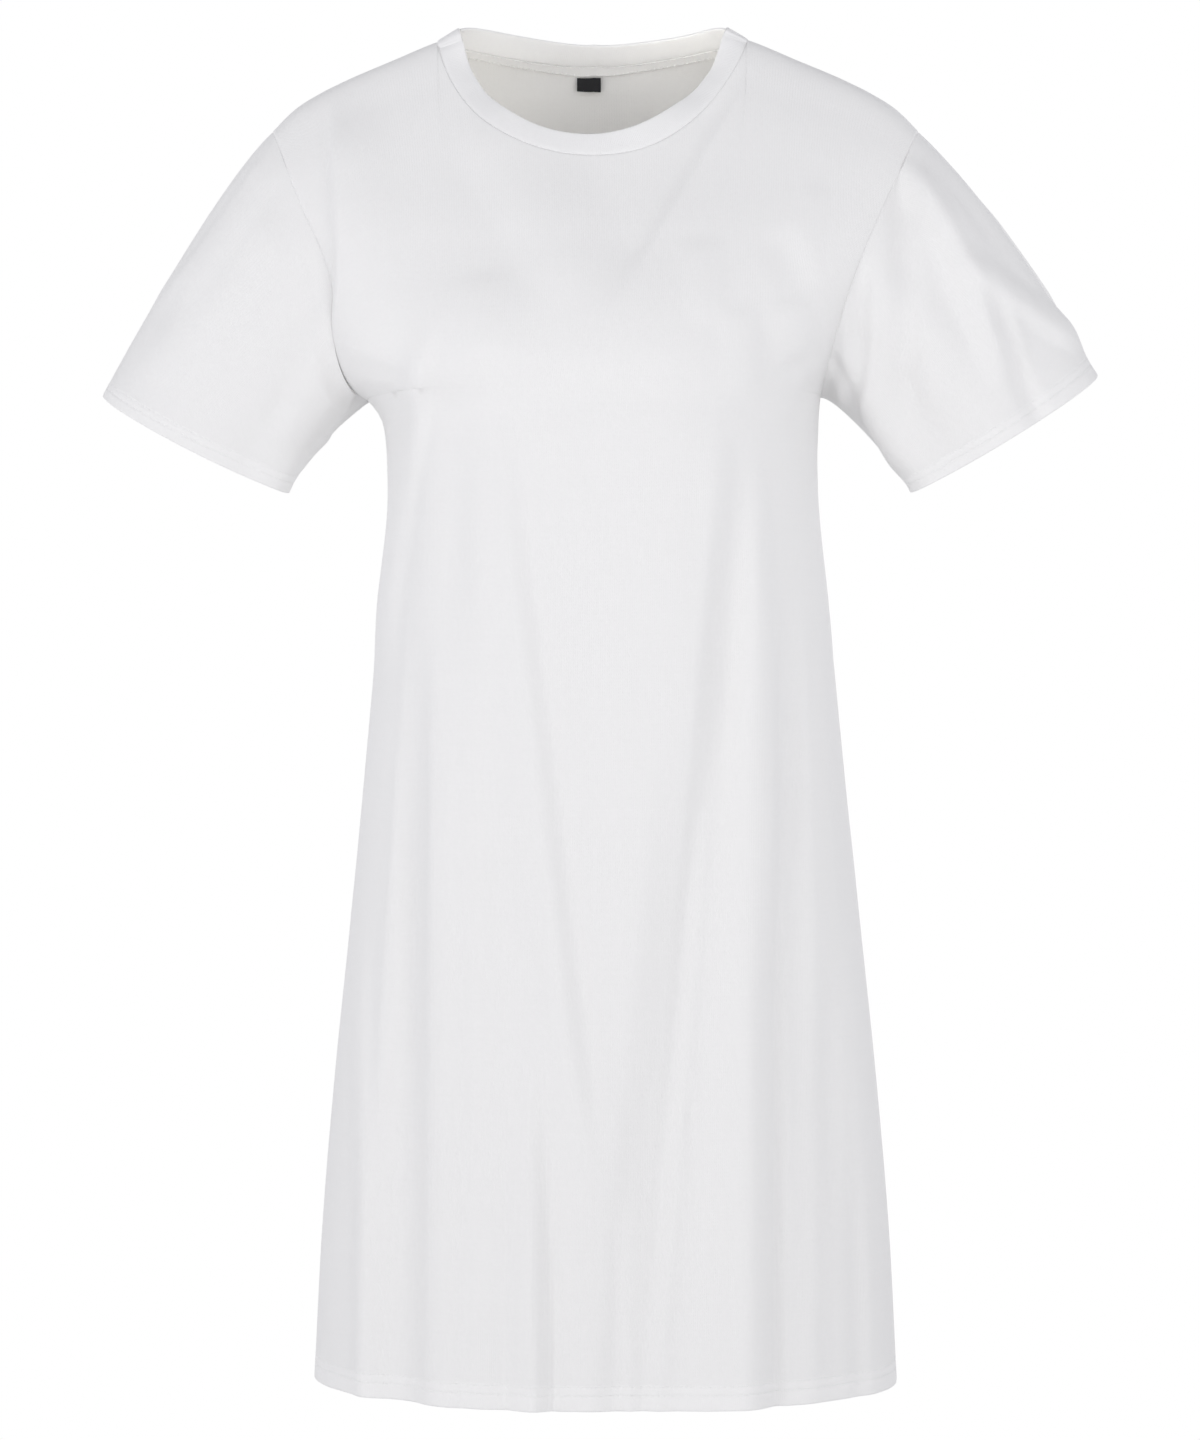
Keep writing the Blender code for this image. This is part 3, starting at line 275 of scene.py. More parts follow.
# Finer creases, by where they run in the view from the front: from one point to another, bowed
# to the right by so much, with a reach on each side, and a depth over zero for a ridge. They
# are listed by the piece and by the face of it that they lie on.
CREASE_COLUMNS = ("x0", "z0", "x1", "z1", "bow", "left", "right", "depth")
CREASES = {
    ("front_panel", "front"): (
        (-0.0972, -0.1767, -0.1391, -0.4106, -0.0010, 0.0160, 0.0090, 0.0044),
        (-0.0960, -0.3367, -0.0935, -1.0998, 0.0, 0.0220, 0.0120, 0.0064),
        (-0.1502, -0.5214, -0.1366, -1.0629, 0.0, 0.0130, 0.0080, 0.0040),
        (-0.0714, -0.2075, -0.0074, -0.7490, 0.0, 0.0320, 0.0140, 0.0084),
        (-0.0455, -0.5952, -0.0357, -1.0752, 0.0, 0.0300, 0.0120, 0.0068),
        (-0.0529, -0.6444, -0.0505, -1.0383, 0.0, 0.0045, 0.0045, 0.0012),
        (-0.0308, -0.6875, -0.0295, -1.0383, 0.0, 0.0100, 0.0060, -0.0022),
        (0.0086, -0.6875, 0.0037, -1.0752, 0.0, 0.0340, 0.0140, -0.0068),
        (0.0640, -0.4167, 0.0074, -1.0506, -0.0010, 0.0300, 0.0140, -0.0088),
        (0.0714, -0.2506, 0.0794, -0.3983, 0.0010, 0.0200, 0.0140, 0.0018),
        (0.0548, -0.6703, 0.0578, -0.6887, 0.0, 0.0050, 0.0030, -0.0012),
        (0.1108, -0.4844, 0.1102, -1.0752, 0.0, 0.0220, 0.0090, -0.0064),
        (0.1391, -0.5460, 0.1514, -1.0629, 0.0, 0.0240, 0.0140, -0.0050),
        (0.1612, -0.6814, 0.1662, -1.0075, 0.0, 0.0130, 0.0070, -0.0018),
        (0.0763, -0.1706, 0.0185, -0.7367, 0.0, 0.0800, 0.0300, 0.0040),
        (-0.0246, -0.3860, -0.0172, -0.6137, 0.0, 0.0240, 0.0200, 0.0008),
        (-0.1243, -0.4167, -0.1182, -0.6814, 0.0010, 0.0060, 0.0050, -0.0010),
        (-0.0911, -0.3367, -0.0855, -0.5952, -0.0010, 0.0100, 0.0120, 0.0010),
        (0.1489, -0.3737, 0.1588, -0.5952, 0.0, 0.0090, 0.0070, -0.0016),
        (-0.0714, -0.8038, -0.0480, -0.8087, 0.0, 0.0050, 0.0040, -0.0010),
        (0.1305, -0.8106, 0.1538, -0.8057, 0.0, 0.0050, 0.0050, -0.0006),
        (-0.0812, -0.0438, -0.0037, -0.1804, 0.0010, 0.0340, 0.0460, 0.0038),
        (0.0898, -0.0167, -0.0018, -0.1817, -0.0010, 0.0460, 0.0120, -0.0036),
        (-0.2462, -0.2112, 0.1231, -0.2026, 0.0, 0.0360, 0.0720, 0.0066),
        (-0.2142, -0.2223, -0.0246, -0.2137, 0.0, 0.0340, 0.0620, 0.0048),
        (-0.1674, -0.0352, -0.1526, -0.2506, 0.0, 0.0090, 0.0420, 0.0066),
        (-0.0714, -0.1534, -0.0665, -0.2210, 0.0, 0.0260, 0.0240, 0.0017),
        (0.0615, -0.1312, 0.0665, -0.1952, 0.0, 0.0180, 0.0200, 0.0016),
        (0.0849, -0.1743, 0.0935, -0.2407, 0.0, 0.0200, 0.0160, 0.0018),
        (0.1058, -0.1275, 0.1268, -0.1767, 0.0040, 0.0200, 0.0160, -0.0020),
        (0.1157, -0.1718, 0.1305, -0.2149, 0.0, 0.0220, 0.0180, 0.0020),
        (0.1378, -0.0955, 0.1231, -0.1534, 0.0, 0.0160, 0.0140, 0.0012),
        (-0.1366, -0.2087, -0.1108, -0.2210, 0.0, 0.0060, 0.0060, -0.0010),
        (-0.1526, -0.1903, -0.1255, -0.2075, 0.0010, 0.0080, 0.0070, 0.0009),
        (0.1391, -0.2001, 0.1095, -0.2210, 0.0, 0.0070, 0.0080, -0.0012),
        (0.1366, -0.2149, 0.1169, -0.2567, 0.0010, 0.0080, 0.0080, -0.0013),
    ),
    ("sleeve_left", "front"): (
        (-0.2028, -0.0639, -0.2813, -0.1767, 0.0030, 0.0090, 0.0200, 0.0040),
        (-0.1445, -0.1881, -0.1863, -0.2958, 0.0020, 0.0300, 0.0100, 0.0034),
        (-0.1407, -0.2083, -0.1762, -0.2590, 0.0010, 0.0045, 0.0040, -0.0032),
        (-0.1964, -0.2274, -0.2091, -0.2514, 0.0, 0.0100, 0.0100, -0.0012),
        (-0.1774, -0.2502, -0.1901, -0.2654, 0.0, 0.0050, 0.0050, -0.0009),
        (-0.1800, -0.1374, -0.1990, -0.2198, 0.0030, 0.0180, 0.0130, -0.0016),
        (-0.2281, -0.1450, -0.2560, -0.2261, 0.0030, 0.0180, 0.0180, 0.0012),
    ),
    ("sleeve_left", "back"): (
        (-0.2050, -0.1100, -0.2920, -0.2150, 0.0040, 0.0120, 0.0100, -0.0026),
        (-0.1700, -0.1300, -0.2250, -0.2620, 0.0020, 0.0140, 0.0130, 0.0024),
        (-0.1460, -0.1960, -0.1960, -0.2720, 0.0010, 0.0080, 0.0090, -0.0024),
        (-0.1900, -0.1650, -0.2520, -0.2680, 0.0, 0.0100, 0.0090, -0.0018),
        (-0.2320, -0.1040, -0.2860, -0.1760, 0.0020, 0.0100, 0.0110, 0.0016),
    ),
    ("sleeve_left", "under"): (
        (-0.1600, -0.2260, -0.2050, -0.2900, 0.0, 0.0080, 0.0080, -0.0016),
    ),
    ("sleeve_right", "front"): (
        (0.1850, -0.0651, 0.2623, -0.2400, 0.0030, 0.0140, 0.0280, 0.0074),
        (0.1876, -0.0727, 0.2585, -0.2286, 0.0030, 0.0070, 0.0110, 0.0030),
        (0.2129, -0.1450, 0.3156, -0.2020, 0.0, 0.0100, 0.0200, 0.0050),
        (0.2421, -0.1627, 0.2902, -0.2654, 0.0, 0.0140, 0.0070, -0.0046),
        (0.1901, -0.0613, 0.1933, -0.2768, 0.0020, 0.0160, 0.0120, -0.0042),
        (0.1648, -0.1437, 0.1635, -0.2514, 0.0010, 0.0120, 0.0060, -0.0036),
        (0.1546, -0.1919, 0.1990, -0.2869, 0.0, 0.0120, 0.0240, 0.0040),
        (0.1686, -0.2476, 0.1952, -0.2945, 0.0, 0.0060, 0.0060, -0.0018),
        (0.2066, -0.1691, 0.2269, -0.2768, -0.0020, 0.0180, 0.0180, 0.0012),
        (0.1419, -0.1995, 0.1698, -0.2514, 0.0030, 0.0060, 0.0050, -0.0022),
    ),
    ("sleeve_right", "back"): (
        (0.2060, -0.1120, 0.2860, -0.2250, -0.0030, 0.0110, 0.0130, -0.0030),
        (0.1680, -0.1420, 0.2220, -0.2680, -0.0020, 0.0140, 0.0130, 0.0024),
        (0.1470, -0.1900, 0.1920, -0.2620, 0.0, 0.0080, 0.0080, -0.0022),
        (0.2260, -0.1500, 0.2620, -0.2580, 0.0010, 0.0100, 0.0090, -0.0018),
        (0.2360, -0.1000, 0.3000, -0.1820, 0.0, 0.0100, 0.0100, 0.0018),
    ),
    ("sleeve_right", "under"): (
        (0.1580, -0.2260, 0.2060, -0.2900, 0.0, 0.0080, 0.0080, -0.0016),
    ),
    ("back_panel", "back"): (
        (-0.1500, -0.0600, -0.0600, -0.1500, 0.0040, 0.0220, 0.0260, 0.0028),
        (0.1460, -0.0660, 0.0520, -0.1420, -0.0030, 0.0240, 0.0200, 0.0030),
        (-0.0960, -0.0860, -0.1120, -0.2080, 0.0020, 0.0150, 0.0130, -0.0022),
        (0.0980, -0.0900, 0.1180, -0.1960, -0.0020, 0.0130, 0.0150, -0.0025),
        (0.0040, -0.0920, -0.0080, -0.2360, 0.0020, 0.0320, 0.0280, 0.0024),
        (-0.1400, -0.1960, -0.0940, -0.2620, 0.0010, 0.0080, 0.0090, -0.0018),
        (-0.1380, -0.2200, -0.1120, -0.3100, 0.0, 0.0080, 0.0100, 0.0018),
        (0.1380, -0.2020, 0.0980, -0.2860, 0.0010, 0.0090, 0.0090, -0.0020),
        (0.1400, -0.2320, 0.1200, -0.3300, 0.0, 0.0090, 0.0090, 0.0016),
        (-0.0340, -0.2100, -0.0400, -0.4400, 0.0010, 0.0120, 0.0150, -0.0030),
        (0.0580, -0.2300, 0.0700, -0.5200, -0.0010, 0.0150, 0.0110, -0.0034),
        (0.0260, -0.3000, 0.0340, -0.6400, 0.0, 0.0160, 0.0140, 0.0024),
        (-0.0760, -0.2600, -0.0840, -0.5600, 0.0010, 0.0140, 0.0110, 0.0026),
        (-0.1000, -0.4200, -0.1140, -1.0500, 0.0, 0.0160, 0.0080, -0.0036),
        (-0.0520, -0.5000, -0.0600, -1.0500, 0.0010, 0.0140, 0.0110, 0.0024),
        (-0.0220, -0.5600, -0.0300, -1.0500, 0.0, 0.0090, 0.0130, -0.0028),
        (0.0120, -0.6200, 0.0100, -1.0500, 0.0, 0.0120, 0.0140, 0.0020),
        (0.0600, -0.5200, 0.0660, -1.0500, 0.0010, 0.0100, 0.0180, -0.0038),
        (0.0960, -0.4400, 0.1080, -1.0500, 0.0, 0.0130, 0.0100, 0.0026),
        (0.1280, -0.3800, 0.1500, -1.0500, -0.0010, 0.0120, 0.0110, -0.0026),
        (-0.1360, -0.4000, -0.1580, -1.0500, 0.0010, 0.0120, 0.0100, 0.0022),
        (0.0440, -0.7200, 0.0460, -1.0500, 0.0, 0.0060, 0.0060, 0.0012),
        (-0.0840, -0.7000, -0.0880, -1.0500, 0.0, 0.0060, 0.0080, -0.0014),
    ),
}
CREASE_END_FADE = 0.25
CREASE_FACE_SHARPNESS = 4  # how fast a crease fades where its face turns away

# Studio
CAMERA_DISTANCE = 3.1
CAMERA_LEVEL = -0.4352
VIEW_HEIGHT = 0.9216  # what the camera takes in, at the origin's distance
SENSOR = 36.0
FLOOR_LEVEL = -1.36  # the wearer's feet
FLOOR_RADIUS = 2.55
FLOOR_SIDES = 96
FLOOR_COLOUR = (0.80, 0.80, 0.80, 1.0)
FLOOR_ROUGHNESS = 0.9
SKY_COLOUR = (0.962, 0.965, 1.0, 1.0)
SKY_STRENGTH = 1.100  # level with the dress and below
SKY_FALL = 0.70  # how much less comes from straight above
SOFTBOX_COLUMNS = ("name", "place", "size", "power", "colour")
SOFTBOX_ROWS = (
    ("left_softbox", (-2.4, -2.4, -0.45), 1.2, 17.0, (1.0, 0.99, 0.985)),
    ("right_softbox", (0.9, -1.7, -0.45), 0.7, 4.8, (1.0, 0.985, 0.96)),
    ("rear_softbox", (0.4, 3.0, 0.3), 2.0, 20.0, (0.98, 0.985, 1.0)),
)
# Light that the cloth lets through, inside the neck and shoulder
GLOW_COLUMNS = ("name", "place", "power")
GLOW_ROWS = (
    ("glow_left_of_neck", (-0.055, 0.0, -0.028), 0.0120),
    ("glow_right_of_neck", (0.047, 0.0, -0.028), 0.034),
    ("glow_in_shoulder", (-0.120, 0.0, -0.090), 0.078),
)
GLOW_COLOUR = (1.0, 0.97, 0.89)
GLOW_RADIUS = 0.02

# Cloth colours and finishes. A knit's wale and course are the width and height of one loop, in
# metres, and its relief how deep the loops are.
JERSEY_TONE = (0.850, 0.846, 0.840, 1.0)
DOUBLED_TONE = (0.874, 0.870, 0.864, 1.0)
BAND_TONE = (0.895, 0.892, 0.888, 1.0)
BODY_KNIT = {"Wale": 0.00110, "Course": 0.00085, "Unevenness": 0.35}
BODY_RELIEF = 0.00010
BODY_RUMPLE = {"Size": 0.055, "Rumple": 0.0010, "Pucker": 0.00012}
BAND_KNIT = {"Wale": 0.00125, "Course": 0.00085, "Unevenness": 0.35}
BAND_RELIEF = 0.00014
BAND_RUMPLE = {"Size": 0.03, "Rumple": 0.0003, "Pucker": 0.0001}
COTTON = {"Slub": 0.030, "Bands": 0.012}
LOOP_SLANT = 1.6
LOOP_HEIGHT = 0.30
WALE_HEIGHT = -0.20
FUZZ_SCALE = 900.0
HANGING_STRETCH = (1.0, 1.0, 0.45)  # rumples run longer down the cloth
PUCKER_SCALE = 170.0
SLUB_SCALE = 420.0
COURSE_STRETCH = (9.0, 420.0, 1.0)  # bands run across the cloth
SPECULAR = 0.25
SHEEN_ROUGHNESS = 0.45
JERSEY_ROUGHNESS, JERSEY_SHEEN = 0.88, 0.18
THREAD_ROUGHNESS, THREAD_SHEEN = 0.55, 0.10
LABEL_ROUGHNESS, LABEL_SHEEN = 0.50, 0.15
THREAD_TONES = ((0.86, 0.86, 0.86, 1.0), (0.92, 0.92, 0.91, 1.0))
THREAD_TWIST = 1400.0
THREAD_RELIEF = 0.00006
# the label's black and a lighter tone, which is a painted sheen along the rib crests
LABEL_TONES_WITH_PAINTED_SHEEN = ((0.008, 0.008, 0.010, 1.0), (0.022, 0.022, 0.025, 1.0))
LABEL_RIBS = 520.0
LABEL_RELIEF = 0.00008


# ---------------------------------------------------------------- the shape of the cloth


def column(rows, columns, name):
    """One named column of a table."""
    place = columns.index(name)
    return np.array([row[place] for row in rows], float)


def smooth_through(keys, values, at):
    """A smooth curve through a table's values, read at some keys."""
    slopes = np.gradient(values, keys)
    low = np.clip(np.searchsorted(keys, at, side="right") - 1, 0, len(keys) - 2)
    span = keys[low + 1] - keys[low]
    t = np.clip((at - keys[low]) / span, 0.0, 1.0)
    start = values[low] * (2 * t**3 - 3 * t**2 + 1) + values[low + 1] * (3 * t**2 - 2 * t**3)
    bend = slopes[low] * (t**3 - 2 * t**2 + t) + slopes[low + 1] * (t**3 - t**2)
    return start + bend * span


def body_value(name, level):
    """A column of the body's table, read at some levels."""
    levels = column(BODY_ROWS, BODY_COLUMNS, "level")
    return smooth_through(levels, column(BODY_ROWS, BODY_COLUMNS, name), level)


def soft_step(t):
    """Rises from 0 to 1 with level ends."""
    t = np.clip(t, 0.0, 1.0)
    return t * t * (3 - 2 * t)


def soft_bump(distance, reach):
    """1 at the middle of a fold, 0 from its reach on."""
    return np.clip(1 - (distance / reach) ** 2, 0.0, 1.0) ** 2


def unit(vectors):
    """Vectors of length one."""
    return vectors / np.maximum(np.linalg.norm(vectors, axis=-1, keepdims=True), 1e-12)


def armhole_reach(panel, level):
    """How far the armhole lies before or behind the side; its lowest part is round."""
    height = column(ARMHOLE_ROWS, ARMHOLE_COLUMNS, "level") - UNDERARM_LEVEL
    reach = column(ARMHOLE_ROWS, ARMHOLE_COLUMNS, panel)
    return smooth_through(np.sqrt(height), reach, np.sqrt(np.maximum(level - UNDERARM_LEVEL, 0.0)))


def body_section(panel, level):
    """A panel's section at each level, from its middle to its right edge, and the length so far."""
    half_width = body_value("half_width", level)[..., None]
    side_y = body_value("side_y", level)[..., None]
    edge_z = body_value("edge_z", level)[..., None]
    middle_y = body_value(panel + "_y", level)[..., None]
    middle_z = body_value(panel + "_z", level)[..., None]
    outward = -1 if panel == "front" else 1
    trim = armhole_reach(panel, level)[..., None]
    edge_y = side_y + trim * outward
    depth = np.maximum((middle_y - side_y) * outward, SMALL_STEP)
    turn = np.arccos(np.minimum(trim / depth, SHOULDER_TRIM) ** (SQUARENESS / 2))
    angle = turn * np.linspace(0.0, 1.0, TURN_STEPS)
    out = np.sin(angle) ** (2 / SQUARENESS)
    out = out / out[..., -1:]
    back = 1 - np.clip(np.cos(angle), 0.0, 1.0) ** (2 / SQUARENESS)
    back = back / back[..., -1:]
    shoulder = smooth_through(
        column(SHOULDER_ROWS, SHOULDER_COLUMNS, "out"),
        column(SHOULDER_ROWS, SHOULDER_COLUMNS, "down"),
        out,
    )
    near_shoulder = np.clip(1 - level / UNDERARM_LEVEL, 0.0, 1.0)[..., None]
    down = (1 - near_shoulder) * out**2 + near_shoulder * shoulder
    curve = np.stack(
        (
            half_width * out,
            middle_y + (edge_y - middle_y) * back,
            middle_z + (edge_z - middle_z) * down,
        ),
        axis=-1,
    )
    steps = np.linalg.norm(np.diff(curve, axis=-2), axis=-1)
    length = np.concatenate((np.zeros_like(steps[..., :1]), np.cumsum(steps, axis=-1)), axis=-1)
    return curve, length


def body_surface(panel, share, level):
    """Points on a panel's plain outer face, and how far along the cloth they are from its middle
    and from its edge."""
    share, level = np.broadcast_arrays(np.asarray(share, float), np.asarray(level, float))
    curve, length = body_section(panel, level)
    half_length = length[..., -1]
    _, ends = body_section(panel, np.array((UNDERARM_LEVEL, SHOULDER_LEVEL)))
    way_up = np.clip(1 - level / UNDERARM_LEVEL, 0.0, 1.0)
    even_length = ends[0, -1] + (ends[1, -1] - ends[0, -1]) * way_up
    even_length = np.where(level < UNDERARM_LEVEL, half_length, even_length)
    out = np.abs(share)
    wanted = even_length * out + (half_length - even_length) * out**EDGE_POWER
    low = np.clip((length <= wanted[..., None]).sum(axis=-1) - 1, 0, TURN_STEPS - 2)
    at_low = np.take_along_axis(length, low[..., None], -1)[..., 0]
    at_high = np.take_along_axis(length, low[..., None] + 1, -1)[..., 0]
    t = ((wanted - at_low) / np.maximum(at_high - at_low, 1e-12))[..., None]
    below = np.take_along_axis(curve, low[..., None, None], -2)[..., 0, :]
    above = np.take_along_axis(curve, low[..., None, None] + 1, -2)[..., 0, :]
    points = below + (above - below) * t
    points[..., 0] = points[..., 0] * np.sign(share) + body_value("shift", level)
    low_down = soft_step((UNDERARM_LEVEL - level) / (UNDERARM_LEVEL - HEM_LEVEL))
    points[..., 2] -= HEM_SLANT * points[..., 0] * low_down
    return points, wanted * np.sign(share), half_length - wanted


def surface_normals(panel, share, level):
    """Outward normals of a panel's plain face, from small steps towards its middle."""
    share, level = np.broadcast_arrays(np.asarray(share, float), np.asarray(level, float))
    step_across = np.where(share > 0, -SMALL_STEP, SMALL_STEP)
    step_up = np.where(level < UNDERARM_LEVEL, SMALL_STEP, -SMALL_STEP)
    here = body_surface(panel, share, level)[0]
    across = (body_surface(panel, share + step_across, level)[0] - here) / step_across[..., None]
    up = (body_surface(panel, share, level + step_up)[0] - here) / step_up[..., None]
    outward = 1 if panel == "front" else -1
    return unit(np.cross(across, up)) * outward


def neck_share(side, grow=0.0):
    """The share at which a shoulder seam meets the neck opening, made wider by grow."""
    low, high = 0.0, 1.0
    for _ in range(NECK_HALVINGS):
        middle = (low + high) / 2
        point = body_surface("front", middle * side, SHOULDER_LEVEL)[0]
        if (point[0] - NECK_CENTRE_X) * side < NECK_HALF_WIDTH + grow:
            low = middle
        else:
            high = middle
    return (low + high) / 2


def neck_shares(share, grow=0.0):
    """The neck_share of the side that each share is on."""
    widest = np.max(grow)
    return np.where(np.asarray(share) < 0, neck_share(-1, widest), neck_share(1, widest))


def in_neck_opening(panel, points, grow):
    """True where a point lies inside the neck opening, made wider by grow."""
    across = np.abs(points[..., 0] - NECK_CENTRE_X) / (NECK_HALF_WIDTH + grow)
    if panel == "front":
        down = np.clip(-points[..., 2], 0.0, None) / (NECK_FRONT_DROP + grow)
        on_left = (points[..., 0] < NECK_CENTRE_X)[..., None]
        powers = np.where(on_left, NECK_LEFT_POWERS, NECK_RIGHT_POWERS)
        return across ** powers[..., 0] + down ** powers[..., 1] < 1
    depth = NECK_BACK_DEPTH + grow * NECK_BACK_SLOPE
    behind = np.clip(points[..., 1] - NECK_SIDE_Y, 0.0, None) / depth
    return across**NECK_BACK_POWER + behind**NECK_BACK_POWER < 1


def top_levels(panel, share, grow=0.0):
    """The level at which each column of a panel ends: at the neck seam or the shoulder seam."""
    share = np.asarray(share, float)
    low = np.full(share.shape, UNDERARM_LEVEL)
    high = np.full(share.shape, SHOULDER_LEVEL)
    for _ in range(LEVEL_HALVINGS):
        middle = (low + high) / 2
        inside = in_neck_opening(panel, body_surface(panel, share, middle)[0], grow)
        high = np.where(inside, middle, high)
        low = np.where(inside, low, middle)
    over_shoulder = np.abs(share) >= neck_shares(share, grow) - 1e-9
    return np.where(over_shoulder, SHOULDER_LEVEL, (low + high) / 2)


def column_shares():
    """Where the columns stand below the chest, with one on each side under the point where neck
    and shoulder meet."""
    in_neck = np.arange(1, COLUMNS_IN_NECK + 1) / COLUMNS_IN_NECK
    over = np.arange(1, COLUMNS_OVER_SHOULDER + 1) / COLUMNS_OVER_SHOULDER
    halves = []
    for side in (-1, 1):
        neck = neck_share(side)
        half_length = body_surface("front", 0.0, UNDERARM_LEVEL)[2]
        last = 1 - SEAM_STEPS[-1] / half_length
        shares = np.concatenate((neck * in_neck, neck + (last - neck) * over))
        beside_seam = 1 - np.array(SEAM_STEPS[-2::-1] + (0.0,)) / half_length
        halves.append(np.concatenate((shares, beside_seam)))
    return np.concatenate((-halves[0][::-1], [0.0], halves[1]))


def neckline_shares(panel, share):
    """Where the same columns stand at the top: those in the neck at even steps along its seam."""
    shares = share.copy()
    middle = len(share) // 2
    for side in (-1, 1):
        crowded = 1 - np.linspace(1, 0, NECKLINE_STEPS) ** NECKLINE_CROWDING
        line = neck_share(side) * side * crowded
        length = along_line(body_surface(panel, line, top_levels(panel, line))[0])
        even = np.linspace(0.0, length[-1], COLUMNS_IN_NECK + 1)
        shares[middle + side * np.arange(COLUMNS_IN_NECK + 1)] = np.interp(even, length, line)
    return shares


def grid_places(panel):
    """The share and level of every point of a panel, row by row from the hem up."""
    share = column_shares()
    top_share = neckline_shares(panel, share)
    top = top_levels(panel, top_share)
    hem = HEM_LEVEL + np.array(HEM_STEPS)
    body = np.linspace(hem[-1], UNDERARM_LEVEL, ROWS_OF_BODY + 1)[1:]
    above = (np.arange(1, ROWS_TO_CHEST + 1) / ROWS_TO_CHEST) ** CHEST_CROWDING
    chest = UNDERARM_LEVEL + (CHEST_LEVEL - UNDERARM_LEVEL) * above
    levels = [np.full(top.shape, level) for level in np.concatenate((hem, body, chest))]
    shares = [share] * len(levels)
    last = top - SEAM_STEPS[-1]
    for row in range(1, ROWS_TO_TOP + 1):
        way_up = 1 - (1 - row / ROWS_TO_TOP) ** TOP_CROWDING
        levels.append(CHEST_LEVEL + (last - CHEST_LEVEL) * way_up)
        shares.append(share + (top_share - share) * soft_step(way_up))
    for step in SEAM_STEPS[-2::-1] + (0.0,):
        levels.append(top - step)
        shares.append(top_share)
    return np.array(shares), np.array(levels)


def fold_heights(panel, across, from_edge, level):
    """How far the long folds move a panel's points in or out."""
    height = np.zeros_like(across)
    for row in FOLD_ROWS:
        fold = dict(zip(FOLD_COLUMNS, row))
        if fold["panel"] != panel:
            continue
        down = (fold["top_level"] - level) / (fold["top_level"] - HEM_LEVEL)
        centre = fold["top_across"] + (fold["hem_across"] - fold["top_across"]) * down
        reach = fold["top_reach"] + (fold["hem_reach"] - fold["top_reach"]) * np.clip(down, 0, 1)
        strength = soft_step((fold["top_level"] - level) / fold["start"])
        height += fold["depth"] * strength * soft_bump(across - centre, reach)
    return height * soft_step(from_edge / FOLD_EDGE_FADE)


def crease_heights(piece, points, normals):
    """How far the finer creases move a piece's points in or out."""
    height = np.zeros(points.shape[:-1])
    x, z = points[..., 0], points[..., 2]
    facing = {"front": -normals[..., 1], "back": normals[..., 1], "under": -normals[..., 2]}
    for (name, face), rows in CREASES.items():
        if name != piece:
            continue
        on_face = soft_step(facing[face] * CREASE_FACE_SHARPNESS + 0.5)
        for row in rows:
            crease = dict(zip(CREASE_COLUMNS, row))
            run_x, run_z = crease["x1"] - crease["x0"], crease["z1"] - crease["z0"]
            length = math.hypot(run_x, run_z)
            t = ((x - crease["x0"]) * run_x + (z - crease["z0"]) * run_z) / length**2
            aside = ((x - crease["x0"]) * -run_z + (z - crease["z0"]) * run_x) / length
            aside -= crease["bow"] * 4 * t * (1 - t)
            reach = np.where(aside < 0, crease["left"], crease["right"])
            ends = soft_step(t / CREASE_END_FADE) * soft_step((1 - t) / CREASE_END_FADE)
            height += crease["depth"] * ends * on_face * soft_bump(aside, reach)
    return height


def ripple(along, seed):
    """An uneven wave between -1 and 1, for cloth that the sewing has gathered a little."""
    return sum(
        size * np.sin(2 * math.pi * along / length + seed * RIPPLE_SEED_STEP + place)
        for place, (length, size) in enumerate(RIPPLE_WAVES)
    )


def hem_heights(from_hem, along, seed):
    """The sunk rows of stitching of a hem, and the ripple between them and its edge."""
    height = np.zeros_like(from_hem)
    for row in STITCH_ROWS:
        height -= STITCH_SINK * soft_bump(from_hem - row, STITCH_REACH)
    near = soft_bump(from_hem - STITCH_ROWS[0] * HEM_RIPPLE_MIDDLE, HEM_HEIGHT)
    height += HEM_RIPPLE * near * ripple(along + from_hem * HEM_RIPPLE_SLANT, seed)
    rounding = np.clip(1 - from_hem / WALL, 0.0, 1.0)
    return height - WALL * (1 - np.sqrt(1 - rounding**2 * EDGE_ROUNDING))


def seam_dips(points, seams, dip):
    """How far points roll in beside the seams."""
    near = np.concatenate([np.concatenate((line, (line[1:] + line[:-1]) / 2)) for line in seams])
    tree = KDTree(len(near))
    for place, point in enumerate(near):
        tree.insert(point, place)
    tree.balance()
    flat = points.reshape(-1, 3)
    distance = np.array([tree.find(point)[2] for point in flat]).reshape(points.shape[:-1])
    rounding = np.clip(1 - distance / SEAM_ROLL, 0.0, 1.0)
    return dip * (1 - np.sqrt(1 - rounding**2 * SEAM_ROUNDING))


def grid_normals(points, closed):
    """Normals of a grid, from its own rows and columns."""
    if closed:
        around = np.roll(points, -1, axis=1) - np.roll(points, 1, axis=1)
    else:
        around = np.gradient(points, axis=1)
    return unit(np.cross(around, np.gradient(points, axis=0)))


def turned_like(normals, guide):
    """Normals turned to the side that a guide is on."""
    return normals * np.sign((normals * guide).sum(axis=-1, keepdims=True))


